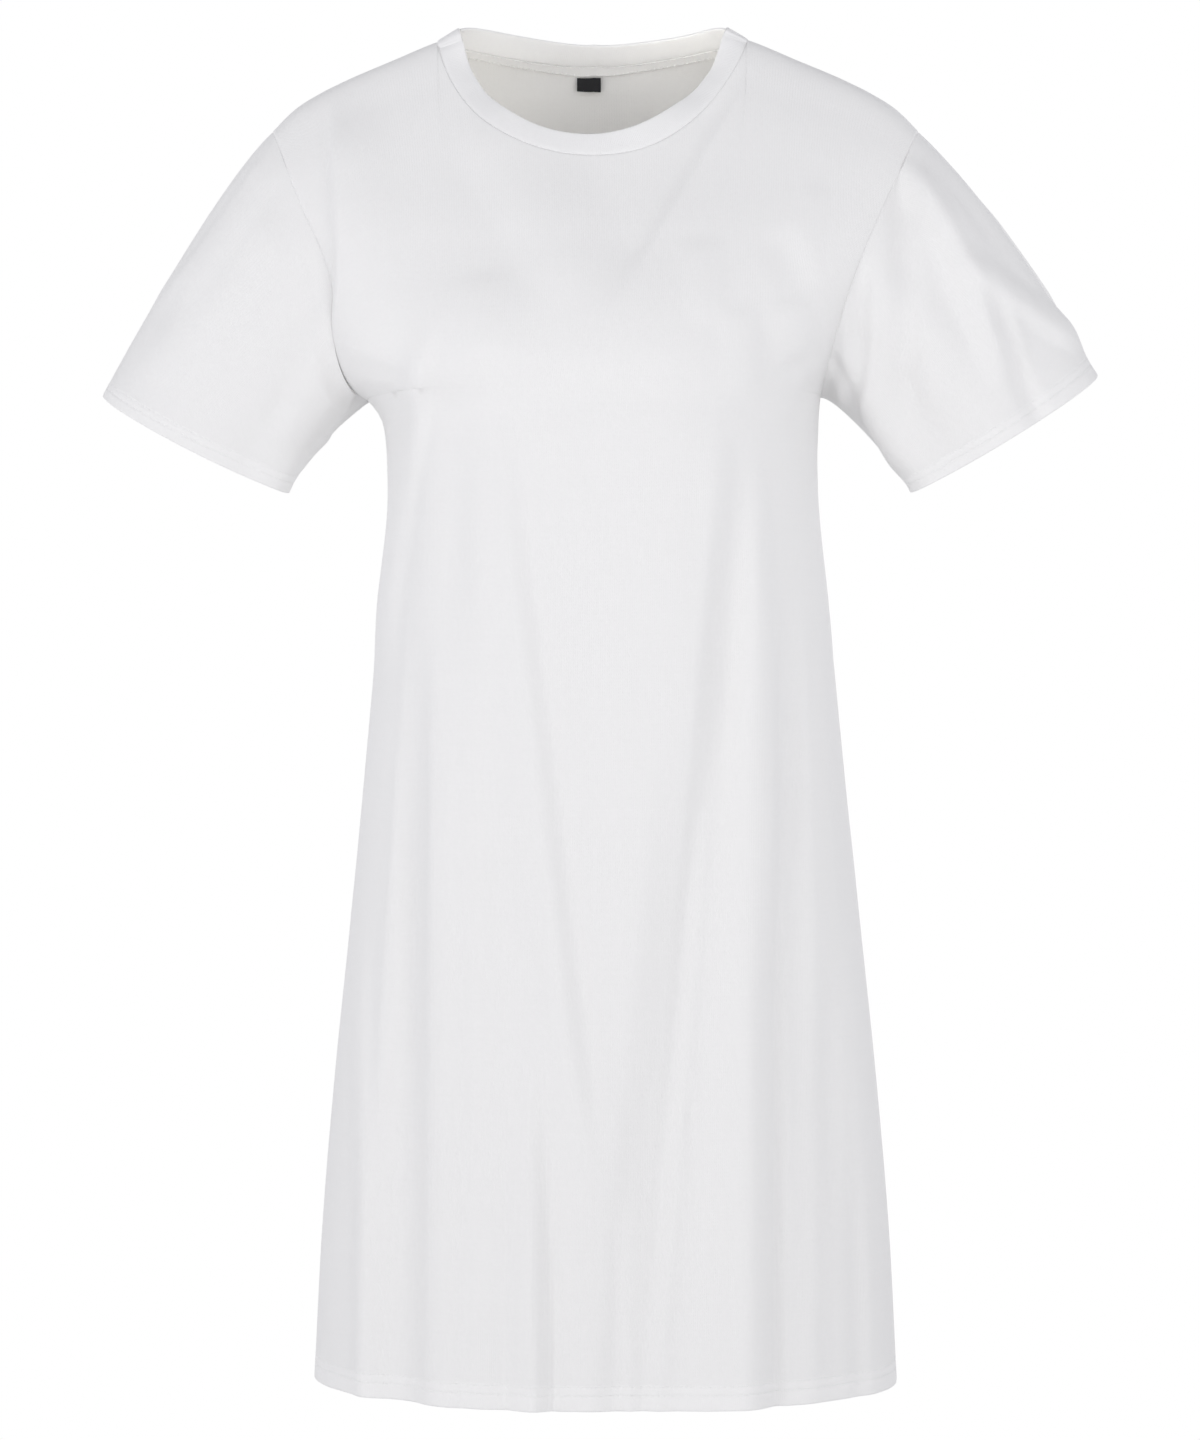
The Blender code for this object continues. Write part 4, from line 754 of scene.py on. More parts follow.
def panel_grid(panel):
    """A panel's outer face: its points, rough normals, lengths across and levels."""
    shares, level = grid_places(panel)
    grids = []
    for row in range(level.shape[0]):
        plain, across, from_edge = body_surface(panel, shares[row], level[row])
        grids.append((plain, across, from_edge, surface_normals(panel, shares[row], level[row])))
    plain, across, from_edge, normals = (np.array(part) for part in zip(*grids))
    height = fold_heights(panel, across, from_edge, level)
    height += crease_heights(panel + "_panel", plain, normals)
    height += hem_heights(level - HEM_LEVEL, across, RIPPLE_SEEDS[panel])
    points = plain + normals * height[..., None]
    seams = [points[: UNDERARM_ROW + 1, 0], points[: UNDERARM_ROW + 1, -1]]
    seams += [points[UNDERARM_ROW:, 0], points[UNDERARM_ROW:, -1], points[-1]]
    dips = seam_dips(points, seams, SEAM_DIP)
    dips += seam_dips(points, [points[-1, NECK_PLACE:-NECK_PLACE]], NECK_SEAM_DIP)
    points = points - normals * dips[..., None]
    return points, normals, across, level


def join_panels(front, back):
    """Brings the edges of front and back together along the side and shoulder seams."""
    for edge in (0, -1):
        rows = slice(0, UNDERARM_ROW + 1)
        middle = (front[rows, edge] + back[rows, edge]) / 2
        front[rows, edge] = back[rows, edge] = middle
    for places in (slice(0, NECK_PLACE + 1), slice(-NECK_PLACE - 1, None)):
        middle = (front[-1, places] + back[-1, places]) / 2
        front[-1, places] = back[-1, places] = middle


def armhole_loop(front, back, side):
    """The armhole's points round from the shoulder down the front and up the back."""
    edge = 0 if side < 0 else -1
    down_front = front[UNDERARM_ROW:, edge][::-1]
    up_back = back[UNDERARM_ROW + 1 : -1, edge]
    return np.concatenate((down_front, up_back))


def loop_turns(loop):
    """The angle round the sleeve of each armhole point: 0 on top and pi at the underarm."""
    half = len(loop) // 2
    steps = np.linalg.norm(np.roll(loop, -1, axis=0) - loop, axis=1)
    front, back = steps[:half], steps[half:]
    first = np.concatenate(([0.0], np.cumsum(front)[:-1])) / front.sum()
    second = np.concatenate(([0.0], np.cumsum(back)[:-1])) / back.sum()
    return math.pi * np.concatenate((first, 1 + second))


def cuff_points(sleeve, turns):
    """The cuff's edge at each angle round the sleeve, and the way the sleeve points there."""
    outer = np.array((sleeve["outer_x"], sleeve["centre_y"], sleeve["outer_z"]))
    inner = np.array((sleeve["inner_x"], sleeve["centre_y"], sleeve["inner_z"]))
    centre = (outer + inner) / 2
    to_inner = (inner - outer) / 2
    axis = unit(np.array((to_inner[2] * sleeve["side"], 0.0, -abs(to_inner[0]))))
    axis[0] = abs(axis[0]) * sleeve["side"]
    tilt = math.radians(sleeve["tilt"])
    to_front = np.array((0.0, -math.cos(tilt), 0.0)) + axis * math.sin(tilt)
    lengthwise = -np.cos(turns)[:, None]
    crosswise = np.sin(turns)[:, None]
    edge = centre + to_inner * lengthwise + to_front * crosswise * sleeve["half_depth"]
    return edge, axis


def sleeve_fold_heights(name, turn, along):
    """How far the folds move a sleeve's points in or out."""
    height = np.zeros_like(along)
    for row in SLEEVE_FOLD_ROWS:
        fold = dict(zip(SLEEVE_FOLD_COLUMNS, row))
        if fold["sleeve"] != name:
            continue
        run = (along - fold["start_along"]) / (fold["end_along"] - fold["start_along"])
        centre = fold["start_turn"] + (fold["end_turn"] - fold["start_turn"]) * run
        ends = soft_step(run / FOLD_ALONG_FADE)
        if fold["end_along"] < 1:
            ends = ends * soft_step((1 - run) / FOLD_ALONG_FADE)
        height += fold["depth"] * ends * soft_bump(turn - centre, fold["reach"])
    return height * soft_step(along / FOLD_ALONG_FADE)


def sleeve_grid(sleeve, loop):
    """A sleeve's outer face: rows from the armhole to the cuff, columns round it."""
    turns = loop_turns(loop)
    edge, axis = cuff_points(sleeve, turns)
    apart = np.linalg.norm(edge - loop, axis=1)[:, None]
    under = ((1 - np.cos(turns)) / 2)[:, None]
    top_slope, under_slope = math.radians(sleeve["top_slope"]), math.radians(sleeve["under_slope"])
    leave_top = np.array((math.cos(top_slope) * sleeve["side"], 0.0, -math.sin(top_slope)))
    leave_under = np.array((math.cos(under_slope) * sleeve["side"], 0.0, -math.sin(under_slope)))
    leave = unit(leave_top * (1 - under) + leave_under * under)
    pull = apart * (sleeve["top_pull"] * (1 - under) + sleeve["under_pull"] * under)
    start, end = leave * pull, axis * pull
    alongs = [np.array(step) / apart for step in (0.0,) + SEAM_STEPS]
    first, last = alongs[-1], 1 - HEM_STEPS[-1] / apart
    for row in range(1, ROWS_ALONG_SLEEVE):
        alongs.append(first + (last - first) * row / ROWS_ALONG_SLEEVE)
    alongs += [1 - step / apart for step in HEM_STEPS[::-1]]
    rows = []
    for t in alongs:
        rows.append(
            loop * (2 * t**3 - 3 * t**2 + 1) + edge * (3 * t**2 - 2 * t**3)
            + start * (t**3 - 2 * t**2 + t) + end * (t**3 - t**2)
        )
    plain = np.array(rows)
    along = np.array(alongs)[..., 0]
    normals = grid_normals(plain, True) * sleeve["side"]
    from_hem = (1 - along) * apart[:, 0]
    around = np.concatenate(([0.0], np.cumsum(np.linalg.norm(np.diff(loop, axis=0), axis=1))))
    height = sleeve_fold_heights(sleeve["name"], np.degrees(turns), along)
    height += crease_heights(sleeve["name"], plain, normals)
    seed = RIPPLE_SEEDS[sleeve["name"]]
    height += hem_heights(from_hem, around + np.zeros_like(from_hem), seed)
    height -= SEAM_DIP * soft_bump((turns - math.pi) * SLEEVE_RADIUS, SEAM_ROLL)
    points = plain + normals * height[..., None]
    dips = seam_dips(points, [np.concatenate((loop, loop[:1]))], SEAM_DIP)
    points = points - normals * dips[..., None]
    points[0] = loop
    return points, normals, around, from_hem


# ---------------------------------------------------------------- meshes


def grid_corners(rows, columns, closed):
    """The row and column of each square's corners; a closed grid's columns run on past the last."""
    last = columns if closed else columns - 1
    row, place = np.meshgrid(np.arange(rows - 1), np.arange(last), indexing="ij")
    corner_rows = np.stack((row, row, row + 1, row + 1), axis=-1).reshape(-1, 4)
    corner_places = np.stack((place, place + 1, place + 1, place), axis=-1).reshape(-1, 4)
    return corner_rows, corner_places


def rim_corners(rows, columns, closed):
    """Rows and columns along the open edges of a grid, two by two."""
    pairs = []
    last = columns if closed else columns - 1
    for row in (0, rows - 1):
        pairs += [((row, place), (row, place + 1)) for place in range(last)]
    if not closed:
        for place in (0, columns - 1):
            pairs += [((row, place), (row + 1, place)) for row in range(rows - 1)]
    return np.array(pairs)


def face_outwards(mesh):
    """Turns a closed mesh's faces outwards."""
    shape = bmesh.new()
    shape.from_mesh(mesh)
    bmesh.ops.recalc_face_normals(shape, faces=shape.faces)
    shape.to_mesh(mesh)
    shape.free()


def lay_out(mesh, flat, layers):
    """Notes where each face corner lies on the flat cloth, in metres, and each point's layers."""
    chart = mesh.uv_layers.new(name="cloth")
    chart.data.foreach_set("uv", flat.astype(np.float32).reshape(-1))
    marks = mesh.attributes.new("layers", "FLOAT", "POINT")
    marks.data.foreach_set("value", layers.astype(np.float32).reshape(-1))


def add_piece(name, mesh, material):
    """A finished mesh as a smooth piece that rides on the dress."""
    mesh.shade_smooth()
    mesh.materials.append(material)
    piece = bpy.data.objects.new(name, mesh)
    bpy.context.scene.collection.objects.link(piece)
    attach(piece, "root")
    return piece


def add_shell(name, outer, inner, closed, lengths, layers, material):
    """A thin closed wall of cloth between two grids, laid out flat in metres for its knit."""
    rows, columns = outer.shape[:2]
    count = rows * columns
    flat_across, flat_up = lengths
    corner_rows, corner_places = grid_corners(rows, columns, closed)
    squares = corner_rows * columns + corner_places % columns
    pairs = rim_corners(rows, columns, closed)
    ends = pairs[..., 0] * columns + pairs[..., 1] % columns
    rims = np.stack((ends[:, 0], ends[:, 1], ends[:, 1] + count, ends[:, 0] + count), axis=-1)
    faces = np.concatenate((squares, squares[:, ::-1] + count, rims))
    face_rows = np.concatenate((corner_rows, corner_rows[:, ::-1], pairs[:, (0, 1, 1, 0), 0]))
    face_places = np.concatenate((corner_places, corner_places[:, ::-1], pairs[:, (0, 1, 1, 0), 1]))
    mesh = bpy.data.meshes.new(name)
    points = np.concatenate((outer.reshape(-1, 3), inner.reshape(-1, 3)))
    mesh.from_pydata(points.tolist(), [], faces.tolist())
    flat = np.stack((flat_across[face_rows, face_places], flat_up[face_rows, face_places]), -1)
    lay_out(mesh, flat, np.concatenate((layers, layers)))
    face_outwards(mesh)
    piece = add_piece(name, mesh, material)
    mesh.set_sharp_from_angle(angle=math.radians(SHARP_ANGLE))
    return piece


def wall_inside(points, normals, depth):
    """The inner face of a wall."""
    return points - normals * depth[..., None]


def hem_depths(from_hem):
    """The wall's thickness: a second layer is turned up inside along a hem."""
    turned_up = soft_step((HEM_HEIGHT + HEM_END - from_hem) / HEM_END)
    return WALL * (1 + turned_up)


def hem_layers(from_hem):
    """1 where the cloth is single, 2 where it is turned up."""
    return 1 + soft_step((HEM_HEIGHT - from_hem) / HEM_TONE_END)


def along_line(line, closed=False):
    """The length along a line of points."""
    if closed:
        line = np.concatenate((line, line[:1]))
    return np.concatenate(([0.0], np.cumsum(np.linalg.norm(np.diff(line, axis=0), axis=1))))


def along_columns(points):
    """The length along each column of a grid, from its first row."""
    steps = np.linalg.norm(np.diff(points, axis=0), axis=2)
    return np.concatenate((np.zeros_like(steps[:1]), np.cumsum(steps, axis=0)))


def spread_along(line, normals, pitch):
    """Points, directions and normals at even steps along a line."""
    length = along_line(line)
    count = max(int(length[-1] / pitch), 1)
    at = (np.arange(count) + 0.5) * length[-1] / count

    def read(values, where):
        return np.stack([np.interp(where, length, values[:, axis]) for axis in range(3)], axis=-1)

    place = read(line, at)
    ahead = read(line, at + STITCH_AHEAD)
    return place, unit(ahead - place + 1e-9), unit(read(normals, at))


def add_stitches(name, lines, material, width=STITCH_WIDTH, length=STITCH_LENGTH):
    """Straight stitches along some lines on the cloth, each a small rounded bar of thread."""
    points, faces = [], []
    turn = np.arange(STITCH_SIDES) * 2 * math.pi / STITCH_SIDES
    radius = width / 2
    for line, normals in lines:
        for place, ahead, out in zip(*spread_along(line, normals, STITCH_PITCH)):
            aside = np.cross(ahead, out)
            base = len(points)
            for run, girth, lift in STITCH_STATIONS:
                centre = place + ahead * run * length + out * lift * radius
                for angle in turn:
                    spoke = aside * math.cos(angle) + out * math.sin(angle) * STITCH_FLATNESS
                    points.append(centre + spoke * radius * girth)
            for ring in range(len(STITCH_STATIONS) - 1):
                for step in range(STITCH_SIDES):
                    a = base + ring * STITCH_SIDES + step
                    b = base + ring * STITCH_SIDES + (step + 1) % STITCH_SIDES
                    faces.append((a, b, b + STITCH_SIDES, a + STITCH_SIDES))
            last = base + (len(STITCH_STATIONS) - 1) * STITCH_SIDES
            faces.append(tuple(range(base + STITCH_SIDES - 1, base - 1, -1)))
            faces.append(tuple(range(last, last + STITCH_SIDES)))
    mesh = bpy.data.meshes.new(name)
    mesh.from_pydata([tuple(point) for point in points], [], faces)
    return add_piece(name, mesh, material)


# ---------------------------------------------------------------- cloth finishes


def new_group(name, inputs, outputs):
    """An empty shader node group with named inputs and outputs."""
    group = bpy.data.node_groups.new(name, "ShaderNodeTree")
    for label, kind, value in inputs:
        socket = group.interface.new_socket(label, in_out="INPUT", socket_type=kind)
        socket.default_value = value
    for label, kind in outputs:
        group.interface.new_socket(label, in_out="OUTPUT", socket_type=kind)
    start = group.nodes.new("NodeGroupInput")
    end = group.nodes.new("NodeGroupOutput")
    return group, start, end


def wire(tree, out, into):
    """Joins an output socket to an input socket."""
    tree.links.new(out, into)


def calculate(tree, kind, *values):
    """A Math node; each value is a number or a socket."""
    node = tree.nodes.new("ShaderNodeMath")
    node.operation = kind
    for place, value in enumerate(values):
        if isinstance(value, (int, float)):
            node.inputs[place].default_value = value
        else:
            wire(tree, value, node.inputs[place])
    return node.outputs[0]


def flat_cloth(tree):
    """Where a point lies on the flat cloth, in metres."""
    node = tree.nodes.new("ShaderNodeUVMap")
    node.uv_map = "cloth"
    return node.outputs["UV"]


def noise(tree, place, detail, scale):
    """A Noise texture's value; its scale is a number or a socket."""
    node = tree.nodes.new("ShaderNodeTexNoise")
    node.inputs["Detail"].default_value = detail
    wire(tree, place, node.inputs["Vector"])
    if isinstance(scale, float):
        node.inputs["Scale"].default_value = scale
    else:
        wire(tree, scale, node.inputs["Scale"])
    return node.outputs["Fac"]


def stretched(tree, place, scale):
    """Texture places stretched by a scale along each axis."""
    node = tree.nodes.new("ShaderNodeMapping")
    node.inputs["Scale"].default_value = scale
    wire(tree, place, node.inputs["Vector"])
    return node.outputs["Vector"]


def two_tones(tree, share, tones):
    """A colour between two tones."""
    node = tree.nodes.new("ShaderNodeMix")
    node.data_type = "RGBA"
    node.inputs["A"].default_value, node.inputs["B"].default_value = tones
    wire(tree, share, node.inputs["Factor"])
    return node.outputs["Result"]


def make_knit_group():
    """Rows of knitted loops: upright wales of small V shapes, laid out on the flat cloth."""
    number = "NodeSocketFloat"
    group, start, end = new_group(
        "knitted_loops",
        (("Wale", number, 0.0011), ("Course", number, 0.0009), ("Unevenness", number, 0.3)),
        (("Height", number),),
    )
    flat = flat_cloth(group)
    split = group.nodes.new("ShaderNodeSeparateXYZ")
    wire(group, flat, split.inputs["Vector"])
    across = calculate(group, "DIVIDE", split.outputs["X"], start.outputs["Wale"])
    up = calculate(group, "DIVIDE", split.outputs["Y"], start.outputs["Course"])
    in_wale = calculate(group, "FRACT", across)
    from_middle = calculate(group, "ABSOLUTE", calculate(group, "SUBTRACT", in_wale, 0.5))
    slanted = calculate(group, "ADD", up, calculate(group, "MULTIPLY", from_middle, LOOP_SLANT))
    loops = calculate(group, "COSINE", calculate(group, "MULTIPLY", slanted, 2 * math.pi))
    wales = calculate(group, "COSINE", calculate(group, "MULTIPLY", across, 2 * math.pi))
    loops = calculate(group, "MULTIPLY", loops, LOOP_HEIGHT)
    wales = calculate(group, "MULTIPLY", wales, WALE_HEIGHT)
    uneven = noise(group, flat, 2.0, FUZZ_SCALE)
    fuzz = calculate(group, "MULTIPLY", uneven, start.outputs["Unevenness"])
    height = calculate(group, "ADD", calculate(group, "ADD", loops, wales), fuzz)
    wire(group, height, end.inputs["Height"])
    return group


def make_rumple_group():
    """Soft hand-sized rumples and small puckers, as a height in metres."""
    number = "NodeSocketFloat"
    group, start, end = new_group(
        "soft_rumples",
        (("Size", number, 0.06), ("Rumple", number, 0.0006), ("Pucker", number, 0.00008)),
        (("Height", number),),
    )
    place = group.nodes.new("ShaderNodeTexCoord")
    hanging = stretched(group, place.outputs["Object"], HANGING_STRETCH)
    large = noise(group, hanging, 1.0, calculate(group, "DIVIDE", 1.0, start.outputs["Size"]))
    small = noise(group, hanging, 2.5, PUCKER_SCALE)
    rumple = calculate(group, "MULTIPLY", large, start.outputs["Rumple"])
    pucker = calculate(group, "MULTIPLY", small, start.outputs["Pucker"])
    wire(group, calculate(group, "ADD", rumple, pucker), end.inputs["Height"])
    return group


def make_tone_group():
    """The cloth's colour: fine slubs, faint bands across the knit, and brighter doubled cloth."""
    number, colour = "NodeSocketFloat", "NodeSocketColor"
    group, start, end = new_group(
        "cotton_tone",
        (
            ("Single", colour, (0.84, 0.84, 0.83, 1.0)),
            ("Doubled", colour, (0.88, 0.88, 0.87, 1.0)),
            ("Slub", number, 0.02),
            ("Bands", number, 0.015),
        ),
        (("Colour", colour),),
    )
    flat = flat_cloth(group)
    marks = group.nodes.new("ShaderNodeAttribute")
    marks.attribute_name = "layers"
    doubled = calculate(group, "SUBTRACT", marks.outputs["Fac"], 1.0)
    blend = group.nodes.new("ShaderNodeMix")
    blend.data_type = "RGBA"
    wire(group, doubled, blend.inputs["Factor"])
    wire(group, start.outputs["Single"], blend.inputs["A"])
    wire(group, start.outputs["Doubled"], blend.inputs["B"])
    slubs = calculate(group, "SUBTRACT", noise(group, flat, 3.0, SLUB_SCALE), 0.5)
    courses = stretched(group, flat, COURSE_STRETCH)
    bands = calculate(group, "SUBTRACT", noise(group, courses, 2.0, 1.0), 0.5)
    slub = calculate(group, "MULTIPLY", slubs, start.outputs["Slub"])
    band = calculate(group, "MULTIPLY", bands, start.outputs["Bands"])
    shade = calculate(group, "ADD", calculate(group, "ADD", slub, band), 1.0)
    scale = group.nodes.new("ShaderNodeVectorMath")
    scale.operation = "SCALE"
    wire(group, blend.outputs["Result"], scale.inputs["Vector"])
    wire(group, shade, scale.inputs["Scale"])
    wire(group, scale.outputs["Vector"], end.inputs["Colour"])
    return group


def place_group(tree, group, **values):
    """A group node in a material, with its own values."""
    node = tree.nodes.new("ShaderNodeGroup")
    node.node_tree = group
    for label, value in values.items():
        node.inputs[label].default_value = value
    return node


def new_material(name, roughness, sheen):
    """A material with its Principled shader, ready for its nodes."""
    material = bpy.data.materials.new(name)
    material.use_nodes = True
    tree = material.node_tree
    shader = tree.nodes["Principled BSDF"]
    shader.inputs["Metallic"].default_value = 0.0
    shader.inputs["Roughness"].default_value = roughness
    shader.inputs["Specular IOR Level"].default_value = SPECULAR
    shader.inputs["Sheen Weight"].default_value = sheen
    shader.inputs["Sheen Roughness"].default_value = SHEEN_ROUGHNESS
    return material, tree, shader


def add_bump(tree, height, distance, normal=None):
    """A Bump node over another."""
    bump = tree.nodes.new("ShaderNodeBump")
    bump.inputs["Distance"].default_value = distance
    wire(tree, height, bump.inputs["Height"])
    if normal is not None:
        wire(tree, normal, bump.inputs["Normal"])
    return bump.outputs["Normal"]


def make_jersey(name, groups, tones, rumple, knit, relief):
    """Cotton jersey: knitted loops over soft rumples, in one tone single and another doubled."""
    material, tree, shader = new_material(name, JERSEY_ROUGHNESS, JERSEY_SHEEN)
    tone = place_group(tree, groups["tone"], Single=tones[0], Doubled=tones[1], **COTTON)
    wire(tree, tone.outputs["Colour"], shader.inputs["Base Color"])
    rumples = place_group(tree, groups["rumple"], **rumple)
    normal = add_bump(tree, rumples.outputs["Height"], 1.0)
    loops = place_group(tree, groups["knit"], **knit)
    normal = add_bump(tree, loops.outputs["Height"], relief, normal)
    wire(tree, normal, shader.inputs["Normal"])
    return material


def make_thread():
    """White polyester thread, twisted fine and a little glossier than the cloth."""
    material, tree, shader = new_material("white_thread", THREAD_ROUGHNESS, THREAD_SHEEN)
    place = tree.nodes.new("ShaderNodeTexCoord")
    twist = tree.nodes.new("ShaderNodeTexWave")
    twist.bands_direction = "DIAGONAL"
    twist.inputs["Scale"].default_value = THREAD_TWIST
    wire(tree, place.outputs["Object"], twist.inputs["Vector"])
    strands = twist.outputs["Fac"]
    wire(tree, two_tones(tree, strands, THREAD_TONES), shader.inputs["Base Color"])
    wire(tree, add_bump(tree, strands, THREAD_RELIEF), shader.inputs["Normal"])
    return material


def make_label_cloth():
    """Black satin-woven label tape: fine cross ribs, painted a little lighter along their crests, a
    painted sheen where the threads catch the light.
    """
    material, tree, shader = new_material("black_label_tape", LABEL_ROUGHNESS, LABEL_SHEEN)
    wave = tree.nodes.new("ShaderNodeTexWave")
    wave.bands_direction = "Y"
    wave.inputs["Scale"].default_value = LABEL_RIBS
    wave.inputs["Distortion"].default_value = 0.4
    wire(tree, flat_cloth(tree), wave.inputs["Vector"])
    ribs = wave.outputs["Fac"]
    # the rib crests take the lighter tone: painted sheen
    wire(tree, two_tones(tree, ribs, LABEL_TONES_WITH_PAINTED_SHEEN), shader.inputs["Base Color"])
    wire(tree, add_bump(tree, ribs, LABEL_RELIEF), shader.inputs["Normal"])
    return material


# ---------------------------------------------------------------- the pieces


def add_panel(panel, grid, jersey):
    """The front or back of the dress, a thin shell with its turned-up hem."""
    points, guide, across, level = grid
    normals = turned_like(grid_normals(points, False), guide)
    from_hem = level - HEM_LEVEL
    inner = wall_inside(points, normals, hem_depths(from_hem))
    name = panel + "_of_dress"
    lengths = (across, along_columns(points))
    shell = add_shell(name, points, inner, False, lengths, hem_layers(from_hem), jersey)
    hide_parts(panel + "_panel")
    return shell, normals


def add_sleeve(sleeve, loop, jersey, thread):
    """A short sleeve with its turned-up cuff and two rows of stitching."""
    points, guide, around, from_hem = sleeve_grid(sleeve, loop)
    normals = turned_like(grid_normals(points, True), guide)
    inner = wall_inside(points, normals, hem_depths(from_hem))
    down = along_columns(points)
    closing = around[-1] + np.linalg.norm(loop[0] - loop[-1])
    across = np.broadcast_to(np.concatenate((around, [closing])), (len(points), len(loop) + 1))
    down = np.concatenate((down, down[:, :1]), axis=1)
    name = sleeve["name"].replace("sleeve_", "") + "_sleeve"
    lengths = (across, -down)
    shell = add_shell(name, points, inner, True, lengths, hem_layers(from_hem), jersey)
    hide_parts(sleeve["name"])
    lines = []
    for row in STITCH_ROWS:
        place = len(points) - 1 - HEM_STEPS.index(row)
        ring = np.concatenate((points[place], points[place][:1]))
        lines.append((ring, np.concatenate((normals[place], normals[place][:1]))))
    stitches = add_stitches(name + "_cuff_stitches", lines, thread)
    return shell, stitches


def add_hem_stitches(front, front_normals, back, back_normals, thread):
    """Two rows of stitching round the hem of the dress."""
    lines = []
    for row in STITCH_ROWS:
        place = HEM_STEPS.index(row)
        lines.append((front[place], front_normals[place]))
        lines.append((back[place], back_normals[place]))
    stitches = add_stitches("hem_stitches", lines, thread)
    return stitches


def neck_ring(front, back):
    """Points round the neck: the front from left to right, then the back from right to left."""
    last = front.shape[1] - NECK_PLACE
    return np.concatenate(
        (front[-1, NECK_PLACE:last], back[-1, NECK_PLACE + 1 : last - 1][::-1])
    )


def add_neck_band(front, back, front_normals, back_normals, jersey):
    """The folded band round the neck, a closed ring that stands on the neck seam."""
    ring = neck_ring(front, back)
    normals = neck_ring(front_normals, back_normals)
    along = np.roll(ring, -1, axis=0) - np.roll(ring, 1, axis=0)
    centre = np.array((NECK_CENTRE_X, NECK_SIDE_Y, 0.0))
    into_neck = unit(np.cross((0.0, 0.0, 1.0), unit(along * (1, 1, 0))))
    into_neck *= np.sign((into_neck * (centre - ring)).sum(axis=1, keepdims=True))
    aside = ring[:, 0] - NECK_CENTRE_X
    place = np.arctan2(np.abs(aside), NECK_SIDE_Y - ring[:, 1]) / math.pi
    places = column(BAND_ROWS, BAND_COLUMNS, "place")
    lean_left = smooth_through(places, column(BAND_ROWS, BAND_COLUMNS, "left"), place)
    lean_right = smooth_through(places, column(BAND_ROWS, BAND_COLUMNS, "right"), place)
    lean = np.radians(np.where(aside < 0, lean_left, lean_right))[:, None]
    up = into_neck * np.sin(lean) + np.array((0, 0, 1)) * np.cos(lean)
    run = unit(along)
    up = unit(up - run * (up * run).sum(axis=1, keepdims=True))
    face = unit(np.cross(along, up))
    face *= np.sign((face * normals).sum(axis=1, keepdims=True))
    length = along_line(ring, closed=True)
    pucker = BAND_PUCKER * ripple(length[:-1], RIPPLE_SEEDS["neck_band"])[:, None]
    half = BAND_WALL / 2
    straight = BAND_WIDTH - half
    profile = []
    for share in BAND_STEPS:
        swell = BAND_FOOT + BAND_SWELL * math.sqrt(min(share / BAND_SWELL_END, 1.0))
        profile.append((share * straight, half * (swell + BAND_CROWN * math.sin(share * math.pi))))
    for angle in BAND_TOP_ANGLES:
        turn = math.radians(angle)
        profile.append((straight + half * math.sin(turn), half * math.cos(turn)))
    section = profile + [(height, -aside) for height, aside in profile[-2::-1]]
    foot = ring - face * (half * BAND_FOOT)
    rows, flat = [], []
    for step, (height, aside) in enumerate(section):
        wave = pucker * math.sin(min(height / BAND_WIDTH, 1.0) * math.pi)
        rows.append(foot + up * height + face * (aside + wave))
        flat.append(height if step < len(profile) else 2 * BAND_WIDTH - height)
    points = np.array(rows)
    columns = points.shape[1]
    corner_rows, corner_places = grid_corners(len(rows) + 1, columns, True)
    faces = corner_rows % len(rows) * columns + corner_places % columns
    mesh = bpy.data.meshes.new("neck_band_folded")
    mesh.from_pydata(points.reshape(-1, 3).tolist(), [], faces.tolist())
    flat.append(2 * BAND_WIDTH)
    corners = np.stack((length[corner_places], np.array(flat)[corner_rows]), axis=-1)
    lay_out(mesh, corners, np.full(len(rows) * columns, 2.0))
    face_outwards(mesh)
    band = add_piece("neck_band_folded", mesh, jersey)
    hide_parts("neck_band")
    return band, length[-1]


def inside_back(share, grow):
    """Points on the back panel's outer face a distance below the neck seam, with normals."""
    level = top_levels("back", share, grow)
    points = body_surface("back", share, level)[0]
    return points, surface_normals("back", share, level)


def add_strip(name, shares, grows, depth, wall, material, node):
    """A flat strip that lies inside the back neck, made from the panel's points moved in."""
    grid = [inside_back(row, grow) for row, grow in zip(shares, grows)]
    points = np.array([row[0] for row in grid])
    normals = np.array([row[1] for row in grid])
    outer = points - normals * depth[..., None]
    inner = outer - normals * wall
    across = np.array([along_line(row) for row in points])
    down = np.broadcast_to(np.array([np.max(grow) for grow in grows])[:, None], across.shape)
    layers = np.full(across.shape, 2.0)
    strip = add_shell(name, outer, inner, False, (across, down), layers, material)
    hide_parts(node)
    return strip, inner, -normals, across[0, -1]


def add_neck_tape(jersey, thread):
    """The tape over the back neck seam, with a row of stitches along each edge."""
    place = np.sin(np.linspace(-math.pi / 2, math.pi / 2, TAPE_COLUMNS))
    shares = [place * neck_shares(place, step) * TAPE_REACH for step in TAPE_STEPS]
    depth = np.full((len(TAPE_STEPS), len(place)), TAPE_DEPTH)
    for row in (0, -1):
        depth[row] -= TAPE_EDGE_DIP
    tape, inner, normals, length = add_strip(
        "back_neck_tape", shares, TAPE_STEPS, depth, TAPE_WALL, jersey, "neck_tape"
    )
    lines = [(inner[row], normals[row]) for row in TAPE_STITCH_STEPS]
    stitches = add_stitches(
        "neck_tape_stitches", lines, thread, TAPE_STITCH_WIDTH, TAPE_STITCH_LENGTH
    )
    return tape, stitches, length


